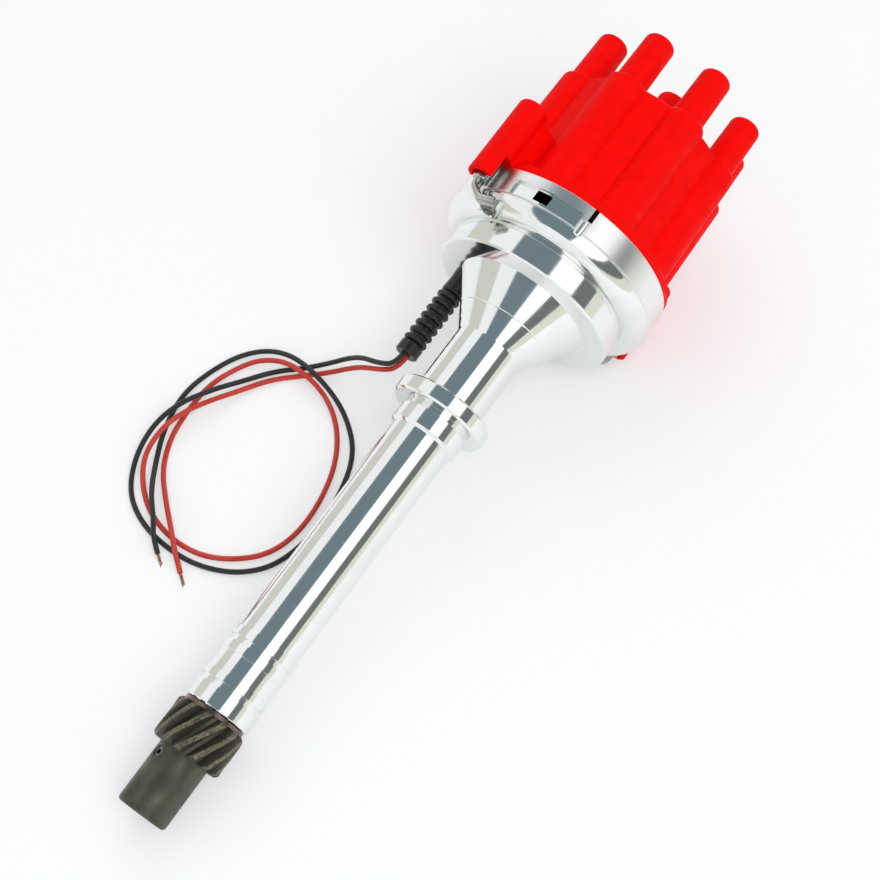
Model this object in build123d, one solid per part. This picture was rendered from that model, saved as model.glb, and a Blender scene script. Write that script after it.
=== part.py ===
from build123d import *
import math
import os

# Ignition distributor with an eight-tower cap, millimetres.
# Each piece is drawn upright about its own shaft: +Z runs from the gear to the cap and
# z = 0 is the underside of the clamping collar.  Angles are taken from local +X.
# lying_location() then lays the finished assembly on a surface, resting on the gear and the cap.

# ---- shaft, gear and their fits -------------------------------------------------------
SHAFT_D = 12.7
SHAFT_TOP = 113.0
SHAFT_END_RECESS = 0.8            # the shaft stops this far inside the hub's end
RUNNING_FIT = 0.03                # radial clearance of every turning pair
SLIDE_FIT = 0.1                   # radial clearance of pieces that slide or swing
SEAT = 0.3                        # gap left between faces that only come close
DRIVE_SLOT_W = 6.4
DRIVE_SLOT_DEEP = 9.0

GEAR_TEETH = 13
GEAR_TIP_R = 15.3
GEAR_ROOT_R = 11.2
GEAR_FACE_W = 18.0
GEAR_HELIX = 30.0                 # degrees at the tooth tips
TOOTH_TIP_SHARE = 0.30            # tip land as a share of the tooth pitch
TOOTH_ROOT_SHARE = 0.72           # tooth base as a share of the tooth pitch
TOOTH_LEAN = 0.42                 # where the middle of a flank lies between base and tip
TOOTH_FULLNESS = 1.08             # how far the flanks bulge
TOOTH_CHAMFER = 1.3
HUB_R = 10.9
HUB_L = 26.9
HUB_EDGE = 1.6
ROLL_PIN_D = 4.76
ROLL_PIN_BORE = 2.2
ROLL_PIN_ABOVE_END = 22.6
ROLL_PIN_ANGLE = -40.0
WASHER_T = 0.75
WASHER_R = 13.4

# ---- housing --------------------------------------------------------------------------
SHANK_R = 13.8
SHANK_END_Z = -147.7
LAND_R = 14.4
END_LAND_R = 14.3
GROOVE_R = 13.3                   # floor of the two seal ring grooves
RECESS_R = 13.8                   # oil recess between the lands
LAND_TOPS = (-114.6, -121.2, -133.6)
LAND_BOTTOMS = (-118.9, -125.3, -137.4)
END_LAND_TOP = -139.8
NECK_R = 15.5
NECK_TOP = -2.2
NECK_BOTTOM = -9.7
NECK_CHAMFER = 1.2
UNDERCUT_R = 14.3
COLLAR_R = 21.6
COLLAR_T = 7.3
COLLAR_CHAMFER = 0.9
BARREL_R = 15.2
CONE_START_Z = 37.7
CONE_MID_Z = 48.2
CONE_MID_R = 21.5
CONE_TOP_R = 30.25
DISC_BOTTOM = 62.7
DISC_TOP = 74.0
BOWL_R = 50.8
DISC_R = BOWL_R - 9.2
BOWL_BOTTOM = 74.6
BOWL_CORNER = 7.4
BAND_R = BOWL_R - 0.4
BAND_BOTTOM = 81.6
BAND_TOP = 95.2
BAND_GROOVE = 1.0
BAND_WALL = 4.0
BOWL_CHAMBER_R = BAND_R - 6.4
BOWL_FLOOR = 80.5
SHAFT_TUNNEL_R = 7.2

BUSHING_R = 8.5
BUSHING_L = 34.0
BUSHING_END_SET = 0.4
SEAL_R = 11.0
SEAL_T = 6.5

BEARING_R = 14.29
BEARING_W = 7.94
BEARING_BALLS = 9
BALL_R = 2.38
BALL_RACE_R = 2.43
BALL_PITCH_R = 10.32
INNER_RACE_R = 8.9
OUTER_RACE_R = 11.8
CAGE_R = 10.9
CAGE_BORE_R = 9.75
CAGE_W = 6.6
CIRCLIP_T = 1.1
CIRCLIP_W = 1.9
CIRCLIP_DEPTH = 0.8

POCKET_ANGLES = (-21.5, 15.5)     # shallow recess round the band
POCKET_BOTTOM = 83.2
POCKET_TOP = 90.2
POCKET_DEPTH = 1.6
WINDOW_ANGLES = (-9.2, -1.0)      # vent window inside the recess
WINDOW_BOTTOM = 85.0
WINDOW_TOP = 89.8
NUB_ANGLE = 18.6
NUB_R = 2.7
NUB_LOW = 80.4
NUB_HIGH = 88.2
KEY_ANGLE = 19.9
KEY_W = 2.0
KEY_DEPTH = 5.6

# ---- leads and their boot -------------------------------------------------------------
BOOT_ANGLE = -113.0
BOOT_RING_R = BOWL_CHAMBER_R - 8.0
BOOT_R = 5.3
BOOT_END_R = 5.0
BOOT_L = 40.5
BOOT_PLUG_L = 5.5
BOOT_RIBS = 7
BOOT_RIB_PITCH = 4.1
BOOT_RIB_DEEP = 1.4
BOOT_FLANGE_R = 6.6
BOOT_FLANGE_T = 1.6
BOOT_NECK_R = 4.2
LEAD_D = 2.3
LEAD_SPREAD = 1.45                # each lead's offset from the boot's middle
STRIPPED_L = 7.0
STRAND_D = 1.3

# ---- cap ------------------------------------------------------------------------------
TOWERS = 8
TOWER_FIRST_ANGLE = -13.5
TOWER_R = 7.5
TOWER_TIP_R = 6.95
TOWER_TOP = 184.0
TOWER_EDGE = 2.6
RIB_R = 10.4
RIB_TOP_R = 9.6
RIB_EDGE = 2.6
CAP_BODY_R = BAND_R - 9.4
TOWER_RING_R = CAP_BODY_R - 4.3
CAP_DRAFT = 1.2                   # degrees of mould taper on the body and the ribs
CAP_SHOULDER = 158.5
CAP_RIM_R = BAND_R - 0.6
CAP_RIM_T = 4.6
CAP_RIM_CHAMFER = 1.4
CAP_WALL = 3.4
CAP_CEILING = 150.0
SPIGOT_L = 5.0
SPIGOT_WALL = 3.0
SPIGOT_TOP = 101.0
TERMINAL_R = 2.5
TERMINAL_BOTTOM = 138.0
TERMINAL_PROUD = 0.5
TERMINAL_HOLE_REACH = 20.0        # the cutter starts this far below the terminal
TERMINAL_BUTTON_R = 3.4
TERMINAL_BUTTON_DEEP = 3.0
CARBON_R = 3.0
CARBON_L = 6.0
CARBON_GUIDE_WALL = 1.6

# ---- cap latches ----------------------------------------------------------------------
LATCH_FIRST_ANGLE = TOWER_FIRST_ANGLE - 180 / TOWERS
LATCH_ANGLES = (LATCH_FIRST_ANGLE, LATCH_FIRST_ANGLE + 180)
LATCH_RING_R = BAND_R + 4.3
EAR_R = 6.8
EAR_TOP = 123.5
EAR_EDGE = 2.2
EAR_RELIEF = 5.2                  # the skirt is cut back to the band this far round the ear
EAR_WEB_W = 11.0
EAR_WEB_TOP = 119.0
EAR_SKIRT_BOTTOM = 84.5
EAR_SKIRT_T = 1.9
EAR_FLOOR_TOP = 104.5
LATCH_STEM_R = 2.5
LATCH_HEAD_R = 4.3
LATCH_HEAD_T = 3.4
LATCH_HEAD_Z = 117.6
LATCH_SLOT_W = 1.2
LATCH_SLOT_DEEP = 1.6
LATCH_WASHER_R = 4.2
LATCH_WASHER_T = 0.9
LATCH_BORE_R = 4.7
LATCH_SPRING_R = 3.9
LATCH_SPRING_WIRE = 0.8
LATCH_SPRING_TURNS = 5
LATCH_FOOT_R = LATCH_RING_R - BOWL_R - SEAT
LATCH_FOOT_TOP = BAND_TOP - SEAT
LATCH_FOOT_END = 82.6
HOOK_L = 12.0
HOOK_R = 1.4
HOOK_SPREAD = 1.7                 # each prong's offset from the stem's middle
HOOK_TOP = 92.0
HOOK_ELBOW = 79.4
HOOK_DIP = 75.4
HOOK_TURN = 62.0                  # the locked hook points this far off the radius
HOOK_SEAT_Z = 78.4
HOOK_SEAT_R = 7.0
HOOK_SEAT_RING_R = BOWL_R - 1.8
HOOK_SEAT_SHIFT = 8.5             # degrees between the stem and the spot face

# ---- pickup and reluctor --------------------------------------------------------------
PICKUP_PLATE_R = BOWL_CHAMBER_R - 0.6
PICKUP_PLATE_BORE_R = 21.0
PICKUP_PLATE_T = 1.6
PICKUP_SCREW_RING_R = PICKUP_PLATE_R - 4.9
PICKUP_SCREW_R = 1.9
PICKUP_SCREW_HEAD_R = 3.6
PICKUP_SCREW_HEAD_T = 2.4
PICKUP_SCREW_L = 5.0
PICKUP_SCREW_ANGLES = (80.0, 200.0, 345.0)
PICKUP_ANGLE = -60.0
PICKUP_W = 15.0
PICKUP_OUT_R = PICKUP_PLATE_R - 2.9
PICKUP_IN_R = PICKUP_OUT_R - 14.0
PICKUP_TOP = 94.6
CORE_W = 5.0
CORE_H = 6.0
CORE_GAP = 0.9
RELUCTOR_POINTS = 8
RELUCTOR_TIP_R = 20.0
RELUCTOR_ROOT_R = 14.6
RELUCTOR_BOTTOM = 85.2
RELUCTOR_T = 6.4
RELUCTOR_POINT_W = 3.2

# ---- centrifugal advance --------------------------------------------------------------
SLEEVE_R = 9.3
ADVANCE_PLATE_R = 31.5
ADVANCE_PLATE_BOTTOM = 98.6
ADVANCE_PLATE_T = 2.2
ADVANCE_TRAVEL = 10.5             # degrees of the sleeve ahead of the shaft
PIVOT_RING_R = 25.0
PIVOT_ANGLES = (20.0, 200.0)
PIVOT_R = 2.4
PIVOT_TOP = 112.0
WEIGHT_T = 5.2
WEIGHT_OUT_R = 28.5
WEIGHT_IN_R = 16.2
WEIGHT_SWEEP = 88.0
WEIGHT_EYE_R = 5.0
CAM_R = 9.6
CAM_LOBE_R = 15.9
CAM_LOBE_TIP_R = 3.2
CAM_LOBE_ANGLES = (66.0, 246.0)
CAM_T = 5.6
ARM_T = 1.5
ARM_W = 6.0
ARM_R = 16.0
ARM_ANGLES = (-58.0, 122.0)
ARM_POST_R = 1.3
ARM_POST_TOP = 112.6
ADVANCE_SPRING_R = 2.1
ADVANCE_SPRING_WIRE = 0.6
ADVANCE_SPRING_Z = 110.9
STOP_RING_R = 12.7
STOP_PIN_R = 1.5
STOP_PIN_IN_CAM = 3.0
STOP_BUSH_R = 2.5
STOP_BUSH_L = 3.4
STOP_NUT_R = 3.0
STOP_NUT_T = 1.6
CLIP_T = 0.9
CLIP_R = 9.2

# ---- rotor ----------------------------------------------------------------------------
STANDOFF_RING_R = 27.0
STANDOFF_R = 3.4
STANDOFF_ANGLES = (145.0, 325.0)
STANDOFF_TOP = 114.4
ROTOR_R = 33.4
ROTOR_PLATE_T = 3.2
ROTOR_DOME_R = 17.0
ROTOR_DOME_WALL = 3.0
ROTOR_TOP = 140.6
ROTOR_ARM_W = 12.0
ROTOR_ARM_T = 7.0
ROTOR_ARM_R = 30.5
ROTOR_ANGLE = -13.5
BLADE_W = 6.0
BLADE_T = 1.4
ROTOR_GAP = 1.1                   # spark gap between the blade and the terminals
ROTOR_SCREW_R = 2.0
ROTOR_SCREW_HEAD_R = 3.6
ROTOR_SCREW_HEAD_T = 2.2
ROTOR_SCREW_L = 9.0
LEAF_T = 0.5
LEAF_W = 5.0

# ---- how it lies ----------------------------------------------------------------------
REST_SPAN = BOWL_R - GEAR_TIP_R   # fall of the underside from the bowl to the gear
EPS = 0.01

# Routes of the two loose leads over the surface, from the boot to the stripped ends.  The
# first two points come from the boot; these follow them, in the frame of the lying part.
LEAD_STRAIGHT = 7.0               # straight run out of the boot
LEAD_BEND_SHARE = 0.45            # of the shorter run, taken up by each arc
BLACK_ROUTE = [
    (14, 39, 26), (14.5, 48, 21), (18, 57, 13.5), (18.5, 65.5, 6), (10.8, 74.6, 1.3),
    (-1.3, 86.1, 1.3), (-14, 94.4, 1.8), (-25, 100, 5), (-39.5, 107, 6.6), (-54, 109.6, 6.4),
    (-69.5, 107.8, 2.6), (-84.5, 99, 1.3), (-92.6, 85.5, 1.3), (-95.6, 69.4, 1.3),
    (-94.6, 52.5, 1.3), (-87.5, 36.5, 1.3), (-74.5, 25.4, 1.3), (-51.5, 22, 1.3),
    (-28.7, 25.6, 1.3), (-13, 32.2, 1.3), (-2.4, 43.8, 2.6), (3.2, 56.8, 6.8), (8.2, 77.7, 6.8),
    (6.7, 92.8, 3.2), (-2.9, 103.7, 1.3), (-18.5, 109.4, 1.3), (-34.3, 111.6, 1.3),
    (-52.3, 106.8, 1.3), (-67.2, 98.8, 1.3), (-80.6, 89.2, 5.6), (-90.4, 79, 6.9),
    (-98, 72.5, 4.6), (-101.5, 66, 1.3),
]
RED_ROUTE = [
    (13.5, 37, 23.6), (12.5, 45.5, 18.5), (14.5, 54.5, 11), (14.5, 63.5, 4.2), (6.4, 73.5, 1.3),
    (-5.4, 84.6, 1.3), (-19.3, 92.4, 2.2), (-31.4, 97.9, 5.5), (-44, 103.3, 6.8),
    (-56.5, 105.2, 6.8), (-69.6, 103.2, 4.6), (-80.6, 94.6, 1.5), (-88, 83, 1.3),
    (-91.3, 68.6, 1.3), (-90.1, 54.4, 1.3), (-83.4, 41.9, 1.3), (-73.2, 32, 1.3),
    (-59.6, 28, 1.3), (-43.1, 28.9, 1.3), (-25, 33.9, 1.3), (-10.6, 42.7, 1.3), (-1.4, 53.4, 2.8),
    (2.3, 64.6, 6.8), (4.2, 80.7, 6.8), (0.4, 93.2, 3), (-8.4, 100.2, 1.3), (-23.9, 105.3, 1.3),
    (-42.2, 104, 1.3), (-55.6, 100.9, 1.3), (-68.5, 93.9, 1.3), (-79.9, 81.6, 5),
    (-90, 69.5, 6.8), (-97.5, 60.5, 5), (-102.5, 54, 1.7), (-103.6, 47.5, 1.3),
]


# ======================================================================================
# small shape helpers
# ======================================================================================
def rod(radius, low, high):
    """Upright cylinder about the shaft line."""
    return Pos(0, 0, low) * Cylinder(radius, high - low, align=(Align.CENTER, Align.CENTER, Align.MIN))


def ring(outer, bore, low, high):
    """Upright tube about the shaft line."""
    return rod(outer, low, high) - rod(bore, low - 1, high + 1)


def cone(low_r, high_r, low, high):
    """Upright cone frustum about the shaft line."""
    return Pos(0, 0, low) * Cone(low_r, high_r, high - low, align=(Align.CENTER, Align.CENTER, Align.MIN))


def block(length, width, low, high):
    """Upright box centred on the shaft line."""
    return Pos(0, 0, low) * Box(length, width, high - low, align=(Align.CENTER, Align.CENTER, Align.MIN))


def polar(radius, angle):
    """Turn to an angle about the shaft and step out along it."""
    return Rot(0, 0, angle) * Pos(radius, 0, 0)


def turned(outline):
    """Solid of revolution from a closed (radius, height) outline."""
    return revolve(Plane.XZ * make_face(outline), Axis.Z)


def sector(outer, bore, first, last, low, high):
    """Part of a ring between two angles."""
    reach = outer / math.cos(math.radians(min(last - first, 80) / 2)) + 5
    middle = (first + last) / 2
    corners = [(0, 0)]
    for angle in (first, middle, last):
        corners.append((reach * math.cos(math.radians(angle)), reach * math.sin(math.radians(angle))))
    wedge = extrude(Pos(0, 0, low) * make_face(Polyline(*corners, close=True)), high - low)
    return ring(outer, bore, low, high) & wedge


def coil(radius, wire, turns, length):
    """Compression spring seen as stacked rings, from z = 0 up, ends closed and ground."""
    pitch = (length - wire) / turns
    rings = [Pos(0, 0, wire / 2 + pitch * step) * Torus(radius - wire / 2, wire / 2) for step in range(turns + 1)]
    spine = ring(radius - wire / 2 + wire / 6, radius - wire / 2 - wire / 6, wire / 2, length - wire / 2)
    return rings[0].fuse(*rings[1:], spine)


# ======================================================================================
# shaft, gear and pin
# ======================================================================================
def gear_top():
    """Upper face of the gear, below the thrust washers."""
    return SHANK_END_Z - 2 * WASHER_T - SEAT


def gear_bottom():
    """Lower face of the teeth."""
    return gear_top() - GEAR_FACE_W


def hub_end():
    """Lower end of the gear's hub, which is the end of the whole distributor."""
    return gear_bottom() - HUB_L


def roll_pin_place():
    """Axis of the cross pin, its length along local +Z of the placement."""
    height = hub_end() + ROLL_PIN_ABOVE_END
    return Pos(0, 0, height) * Rot(0, 0, ROLL_PIN_ANGLE) * Rot(0, 90, 0)


def roll_pin_hole():
    return roll_pin_place() * Cylinder(ROLL_PIN_D / 2, 4 * HUB_R)


def drive_shaft():
    """Ground shaft with the pump drive slot in its lower end and a clip groove at its top."""
    end = hub_end() + SHAFT_END_RECESS
    shaft = rod(SHAFT_D / 2, end, SHAFT_TOP)
    shaft = chamfer(shaft.edges().group_by(Axis.Z)[-1], 0.8)
    shaft -= block(2 * SHAFT_D, DRIVE_SLOT_W, end - 1, end + DRIVE_SLOT_DEEP)
    shaft -= roll_pin_hole()
    shaft -= ring(SHAFT_D, SHAFT_D / 2 - 0.8, clip_bottom(), clip_bottom() + CLIP_T + 0.1)
    return shaft


def gear_outline():
    """Transverse section of the gear: full flanks with round tips and roots."""
    pitch = 2 * math.pi / GEAR_TEETH
    half_root = pitch * TOOTH_ROOT_SHARE / 2
    half_tip = pitch * TOOTH_TIP_SHARE / 2
    half_flank = TOOTH_FULLNESS * (half_root * TOOTH_LEAN + half_tip * (1 - TOOTH_LEAN))
    mid_r = (GEAR_ROOT_R + GEAR_TIP_R) / 2
    pieces = []
    for tooth in range(GEAR_TEETH):
        middle = tooth * pitch
        stations = [
            at_angle(GEAR_ROOT_R, middle - half_root), at_angle(mid_r, middle - half_flank),
            at_angle(GEAR_TIP_R, middle - half_tip), at_angle(GEAR_TIP_R, middle),
            at_angle(GEAR_TIP_R, middle + half_tip), at_angle(mid_r, middle + half_flank),
            at_angle(GEAR_ROOT_R, middle + half_root),
        ]
        for first, through, last in (stations[0:3], stations[2:5], stations[4:7]):
            pieces.append(ThreePointArc(first, through, last))
        next_root = at_angle(GEAR_ROOT_R, middle + pitch - half_root)
        between = at_angle(GEAR_ROOT_R, middle + pitch / 2)
        pieces.append(ThreePointArc(stations[6], between, next_root))
    return Wire(pieces)


def at_angle(radius, angle):
    """Point at a radius and an angle in radians."""
    return (radius * math.cos(angle), radius * math.sin(angle))


def drive_gear():
    """Right-hand helical gear with its pinned hub below the teeth."""
    twist = math.degrees(GEAR_FACE_W * math.tan(math.radians(GEAR_HELIX)) / GEAR_TIP_R)
    section = Face(gear_outline())
    bottom = gear_bottom()
    teeth = Solid.extrude_linear_with_rotation(
        Pos(0, 0, bottom) * section, Vector(0, 0, bottom), Vector(0, 0, GEAR_FACE_W), twist)
    crown = GEAR_TIP_R + 1
    flat = GEAR_FACE_W - 2 * TOOTH_CHAMFER
    low_bevel = cone(GEAR_TIP_R - TOOTH_CHAMFER, GEAR_TIP_R + EPS, bottom, bottom + TOOTH_CHAMFER)
    high_bevel = cone(GEAR_TIP_R + EPS, GEAR_TIP_R - TOOTH_CHAMFER, bottom + GEAR_FACE_W - TOOTH_CHAMFER, gear_top())
    blank = low_bevel + rod(crown, bottom + TOOTH_CHAMFER, bottom + TOOTH_CHAMFER + flat) + high_bevel
    hub = rod(HUB_R, hub_end(), bottom + GEAR_FACE_W / 2)
    hub = fillet(hub.edges().group_by(Axis.Z)[0], HUB_EDGE)
    gear = Part() + (teeth & blank) + hub
    gear -= rod(SHAFT_D / 2, hub_end() - 1, gear_top() + 1)
    return gear - roll_pin_hole()


def gear_roll_pin():
    """Coiled spring pin through the hub and the shaft."""
    length = 2 * math.sqrt(HUB_R ** 2 - (ROLL_PIN_D / 2) ** 2) - 0.6
    pin = Cylinder(ROLL_PIN_D / 2, length) - Cylinder(ROLL_PIN_BORE / 2, length + 1)
    return roll_pin_place() * pin


def thrust_washers():
    """Two washers stacked between the gear and the housing, that set the end play."""
    stack = []
    for step in range(2):
        low = gear_top() + step * WASHER_T
        stack.append(ring(WASHER_R, SHAFT_D / 2, low, low + WASHER_T))
    return stack


# ======================================================================================
# housing
# ======================================================================================
def housing_outline():
    """Half section of the machined housing, outside and inside, as (radius, height)."""
    tunnel_foot = SHANK_END_Z + BUSHING_END_SET + BUSHING_L
    corner_start = (BOWL_R - BOWL_CORNER, BOWL_BOTTOM)
    corner_end = (BOWL_R, BOWL_BOTTOM + BOWL_CORNER)
    band_start = BAND_BOTTOM + BAND_GROOVE
    shank = [(BUSHING_R, SHANK_END_Z), (END_LAND_R - 0.6, SHANK_END_Z), (END_LAND_R, SHANK_END_Z + 0.6)]
    shank += [(END_LAND_R, END_LAND_TOP), (GROOVE_R, END_LAND_TOP)]
    floors = (GROOVE_R, RECESS_R, GROOVE_R)
    for floor, low, high in zip(floors, reversed(LAND_BOTTOMS), reversed(LAND_TOPS)):
        shank += [(floor, low), (LAND_R, low), (LAND_R, high)]
        next_floor = {LAND_TOPS[2]: RECESS_R, LAND_TOPS[1]: GROOVE_R, LAND_TOPS[0]: SHANK_R}[high]
        shank.append((next_floor, high))
    shank.append((SHANK_R, NECK_BOTTOM - NECK_CHAMFER))
    shank += [(NECK_R, NECK_BOTTOM), (NECK_R, NECK_TOP), (UNDERCUT_R, NECK_TOP), (UNDERCUT_R, 0)]
    shank += [(COLLAR_R - COLLAR_CHAMFER, 0), (COLLAR_R, COLLAR_CHAMFER)]
    shank += [(COLLAR_R, COLLAR_T - COLLAR_CHAMFER), (COLLAR_R - COLLAR_CHAMFER, COLLAR_T), (BARREL_R, COLLAR_T)]
    shank += [(BARREL_R, CONE_START_Z), (CONE_MID_R, CONE_MID_Z), (CONE_TOP_R, DISC_BOTTOM)]
    shank += [(DISC_R - 0.8, DISC_BOTTOM), (DISC_R, DISC_BOTTOM + 0.8)]
    shank += [(DISC_R, DISC_TOP - 0.6), (DISC_R - 1.0, DISC_TOP), (DISC_R - 1.0, BOWL_BOTTOM), corner_start]
    bowl_corner = RadiusArc(corner_start, corner_end, -BOWL_CORNER)
    rest = [corner_end, (BOWL_R, BOWL_BOTTOM + BOWL_CORNER + 0.3), (BAND_R - BAND_GROOVE, band_start - 0.4)]
    rest += [(BAND_R, band_start + 0.6), (BAND_R, BAND_TOP - 0.5), (BAND_R - 0.5, BAND_TOP)]
    rest += [(BAND_R - BAND_WALL, BAND_TOP), (BAND_R - BAND_WALL, BOWL_FLOOR + 6.0)]
    rest += [(BOWL_CHAMBER_R, BOWL_FLOOR + 4.0), (BOWL_CHAMBER_R, BOWL_FLOOR), (BEARING_R, BOWL_FLOOR)]
    rest += [(BEARING_R, bearing_bottom()), (SEAL_R, bearing_bottom()), (SEAL_R, seal_bottom())]
    rest += [(SHAFT_TUNNEL_R, seal_bottom()), (SHAFT_TUNNEL_R, tunnel_foot), (BUSHING_R, tunnel_foot)]
    rest.append((BUSHING_R, SHANK_END_Z))
    return Polyline(*without_repeats(shank)) + bowl_corner + Polyline(*rest)


def without_repeats(points):
    """Drop a point that equals the one before it."""
    kept = []
    for point in points:
        if not kept or point != kept[-1]:
            kept.append(point)
    return kept


def bearing_bottom():
    return BOWL_FLOOR - CIRCLIP_T - SEAT - BEARING_W


def seal_bottom():
    return bearing_bottom() - 1.0 - SEAL_T


def boot_hole():
    """Hole through the disc and the bowl floor for the boot's neck."""
    return polar(BOOT_RING_R, BOOT_ANGLE) * rod(BOOT_NECK_R, DISC_BOTTOM - 1, BOWL_FLOOR + 1)


def hook_seat(angle):
    """Round spot face under the bowl where a latch hook pulls."""
    place = polar(HOOK_SEAT_RING_R, angle + HOOK_SEAT_SHIFT)
    return place * rod(HOOK_SEAT_R, DISC_TOP - 6, HOOK_SEAT_Z)


def housing():
    """One-piece machined housing: shank, collar, cone and bowl."""
    body = turned(housing_outline())
    groove = ring(BEARING_R + CIRCLIP_DEPTH, BEARING_R - 1, circlip_bottom(), circlip_bottom() + CIRCLIP_T)
    body -= groove
    body -= boot_hole()
    for angle in LATCH_ANGLES:
        body -= hook_seat(angle) - rod(DISC_R + SEAT, DISC_TOP - 7, HOOK_SEAT_Z + 1)
    first, last = POCKET_ANGLES
    body -= sector(BAND_R + 1, BAND_R - POCKET_DEPTH, first, last, POCKET_BOTTOM, POCKET_TOP)
    first, last = WINDOW_ANGLES
    body -= sector(BAND_R + 1, BAND_R - BAND_WALL - 1, first, last, WINDOW_BOTTOM, WINDOW_TOP)
    nub = rod(NUB_R, NUB_LOW, NUB_HIGH)
    nub = fillet(nub.edges(), NUB_R * 0.55)
    body += polar(BAND_R - NUB_R * 0.55, NUB_ANGLE) * nub
    body -= Rot(0, 0, KEY_ANGLE) * Pos(BAND_R, 0, 0) * block(2 * BAND_WALL + 4, KEY_W, BAND_TOP - KEY_DEPTH, BAND_TOP + 1)
    for angle in PICKUP_SCREW_ANGLES:
        hole_low = pickup_plate_top() - PICKUP_SCREW_L - EPS
        body -= polar(PICKUP_SCREW_RING_R, angle) * rod(PICKUP_SCREW_R, hole_low, BOWL_FLOOR + 1)
    return body


def lower_bushing():
    """Sintered bronze bushing pressed into the shank."""
    low = SHANK_END_Z + BUSHING_END_SET
    return ring(BUSHING_R, SHAFT_D / 2 + RUNNING_FIT, low, low + BUSHING_L)


def oil_seal():
    """Lip seal below the bearing."""
    low = seal_bottom()
    lip = SHAFT_D / 2 + RUNNING_FIT
    body = ring(SEAL_R, lip + 2.2, low, low + SEAL_T)
    web = ring(lip + 3.0, lip + 0.6, low + 1.0, low + 2.4)
    edge = ring(lip + 1.4, lip, low + 1.4, low + 4.6)
    return body + web + edge


# ======================================================================================
# ball bearing
# ======================================================================================
def bearing_middle():
    return bearing_bottom() + BEARING_W / 2


def race_groove():
    return Pos(0, 0, bearing_middle()) * Torus(BALL_PITCH_R, BALL_RACE_R)


def bearing_outer_ring():
    low = bearing_bottom()
    return ring(BEARING_R, OUTER_RACE_R, low, low + BEARING_W) - race_groove()


def bearing_inner_ring():
    low = bearing_bottom()
    return ring(INNER_RACE_R, SHAFT_D / 2, low, low + BEARING_W) - race_groove()


def ball_places():
    return [polar(BALL_PITCH_R, 360 / BEARING_BALLS * step) * Pos(0, 0, bearing_middle())
            for step in range(BEARING_BALLS)]


def bearing_balls():
    return [place * Sphere(BALL_R) for place in ball_places()]


def bearing_cage():
    """Pressed cage ring with a window for each ball."""
    cage = ring(CAGE_R, CAGE_BORE_R, bearing_middle() - CAGE_W / 2, bearing_middle() + CAGE_W / 2)
    for place in ball_places():
        cage -= place * Rot(0, 90, 0) * Cylinder(BALL_RACE_R, 4 * BALL_R)
    return cage


def circlip_bottom():
    return bearing_bottom() + BEARING_W + EPS


def bearing_circlip():
    """Internal circlip over the bearing, open at one side."""
    low = circlip_bottom()
    clip = ring(BEARING_R + CIRCLIP_DEPTH - 0.1, BEARING_R - CIRCLIP_W, low, low + CIRCLIP_T - 2 * EPS)
    gap = Pos(BEARING_R, 0, 0) * block(2 * CIRCLIP_W + 4, 7.0, low - 1, low + CIRCLIP_T + 1)
    ears = [polar(BEARING_R - CIRCLIP_W - 0.4, side * 19) * rod(1.6, low, low + CIRCLIP_T - 2 * EPS) for side in (-1, 1)]
    clip = clip - gap
    for ear in ears:
        clip += ear
    return clip


# ======================================================================================
# pickup and reluctor
# ======================================================================================
def pickup_plate_bottom():
    return BOWL_FLOOR


def pickup_plate_top():
    return pickup_plate_bottom() + PICKUP_PLATE_T


def pickup_plate():
    """Fixed plate on the bowl floor that carries the pickup."""
    plate = ring(PICKUP_PLATE_R, PICKUP_PLATE_BORE_R, pickup_plate_bottom(), pickup_plate_top())
    for angle in PICKUP_SCREW_ANGLES:
        plate -= polar(PICKUP_SCREW_RING_R, angle) * rod(PICKUP_SCREW_R, BOWL_FLOOR - 1, BOWL_FLOOR + 5)
    clearance = BOOT_FLANGE_R + 1.2
    plate -= polar(BOOT_RING_R, BOOT_ANGLE) * rod(clearance, BOWL_FLOOR - 1, BOWL_FLOOR + 5)
    return plate


def pickup_plate_screws():
    """Three pan-head screws through the pickup plate into the bowl."""
    screws = []
    for angle in PICKUP_SCREW_ANGLES:
        top = pickup_plate_top()
        screw = rod(PICKUP_SCREW_R, top - PICKUP_SCREW_L, top) + rod(PICKUP_SCREW_HEAD_R, top, top + PICKUP_SCREW_HEAD_T)
        screw = fillet(screw.edges().group_by(Axis.Z)[-1], 1.0)
        screw -= block(2 * PICKUP_SCREW_HEAD_R + 1, 0.9, top + PICKUP_SCREW_HEAD_T - 1.0, top + PICKUP_SCREW_HEAD_T + 1)
        screws.append(polar(PICKUP_SCREW_RING_R, angle) * screw)
    return screws


def core_level():
    """Bottom of the pole piece, level with the middle of the reluctor."""
    return RELUCTOR_BOTTOM + (RELUCTOR_T - CORE_H) / 2


def pickup_coil():
    """Moulded coil and magnet block, open where the pole piece passes."""
    length = PICKUP_OUT_R - PICKUP_IN_R
    middle = (PICKUP_OUT_R + PICKUP_IN_R) / 2
    mould = block(length, PICKUP_W, pickup_plate_top(), PICKUP_TOP)
    mould = fillet(mould.edges().filter_by(Axis.Z), 2.0)
    mould = fillet(mould.edges().group_by(Axis.Z)[-1], 0.8)
    mould -= Pos(-length / 2, 0, 0) * block(2 * 0.7 * length, CORE_W, core_level(), core_level() + CORE_H)
    return Rot(0, 0, PICKUP_ANGLE) * Pos(middle, 0, 0) * mould


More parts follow.
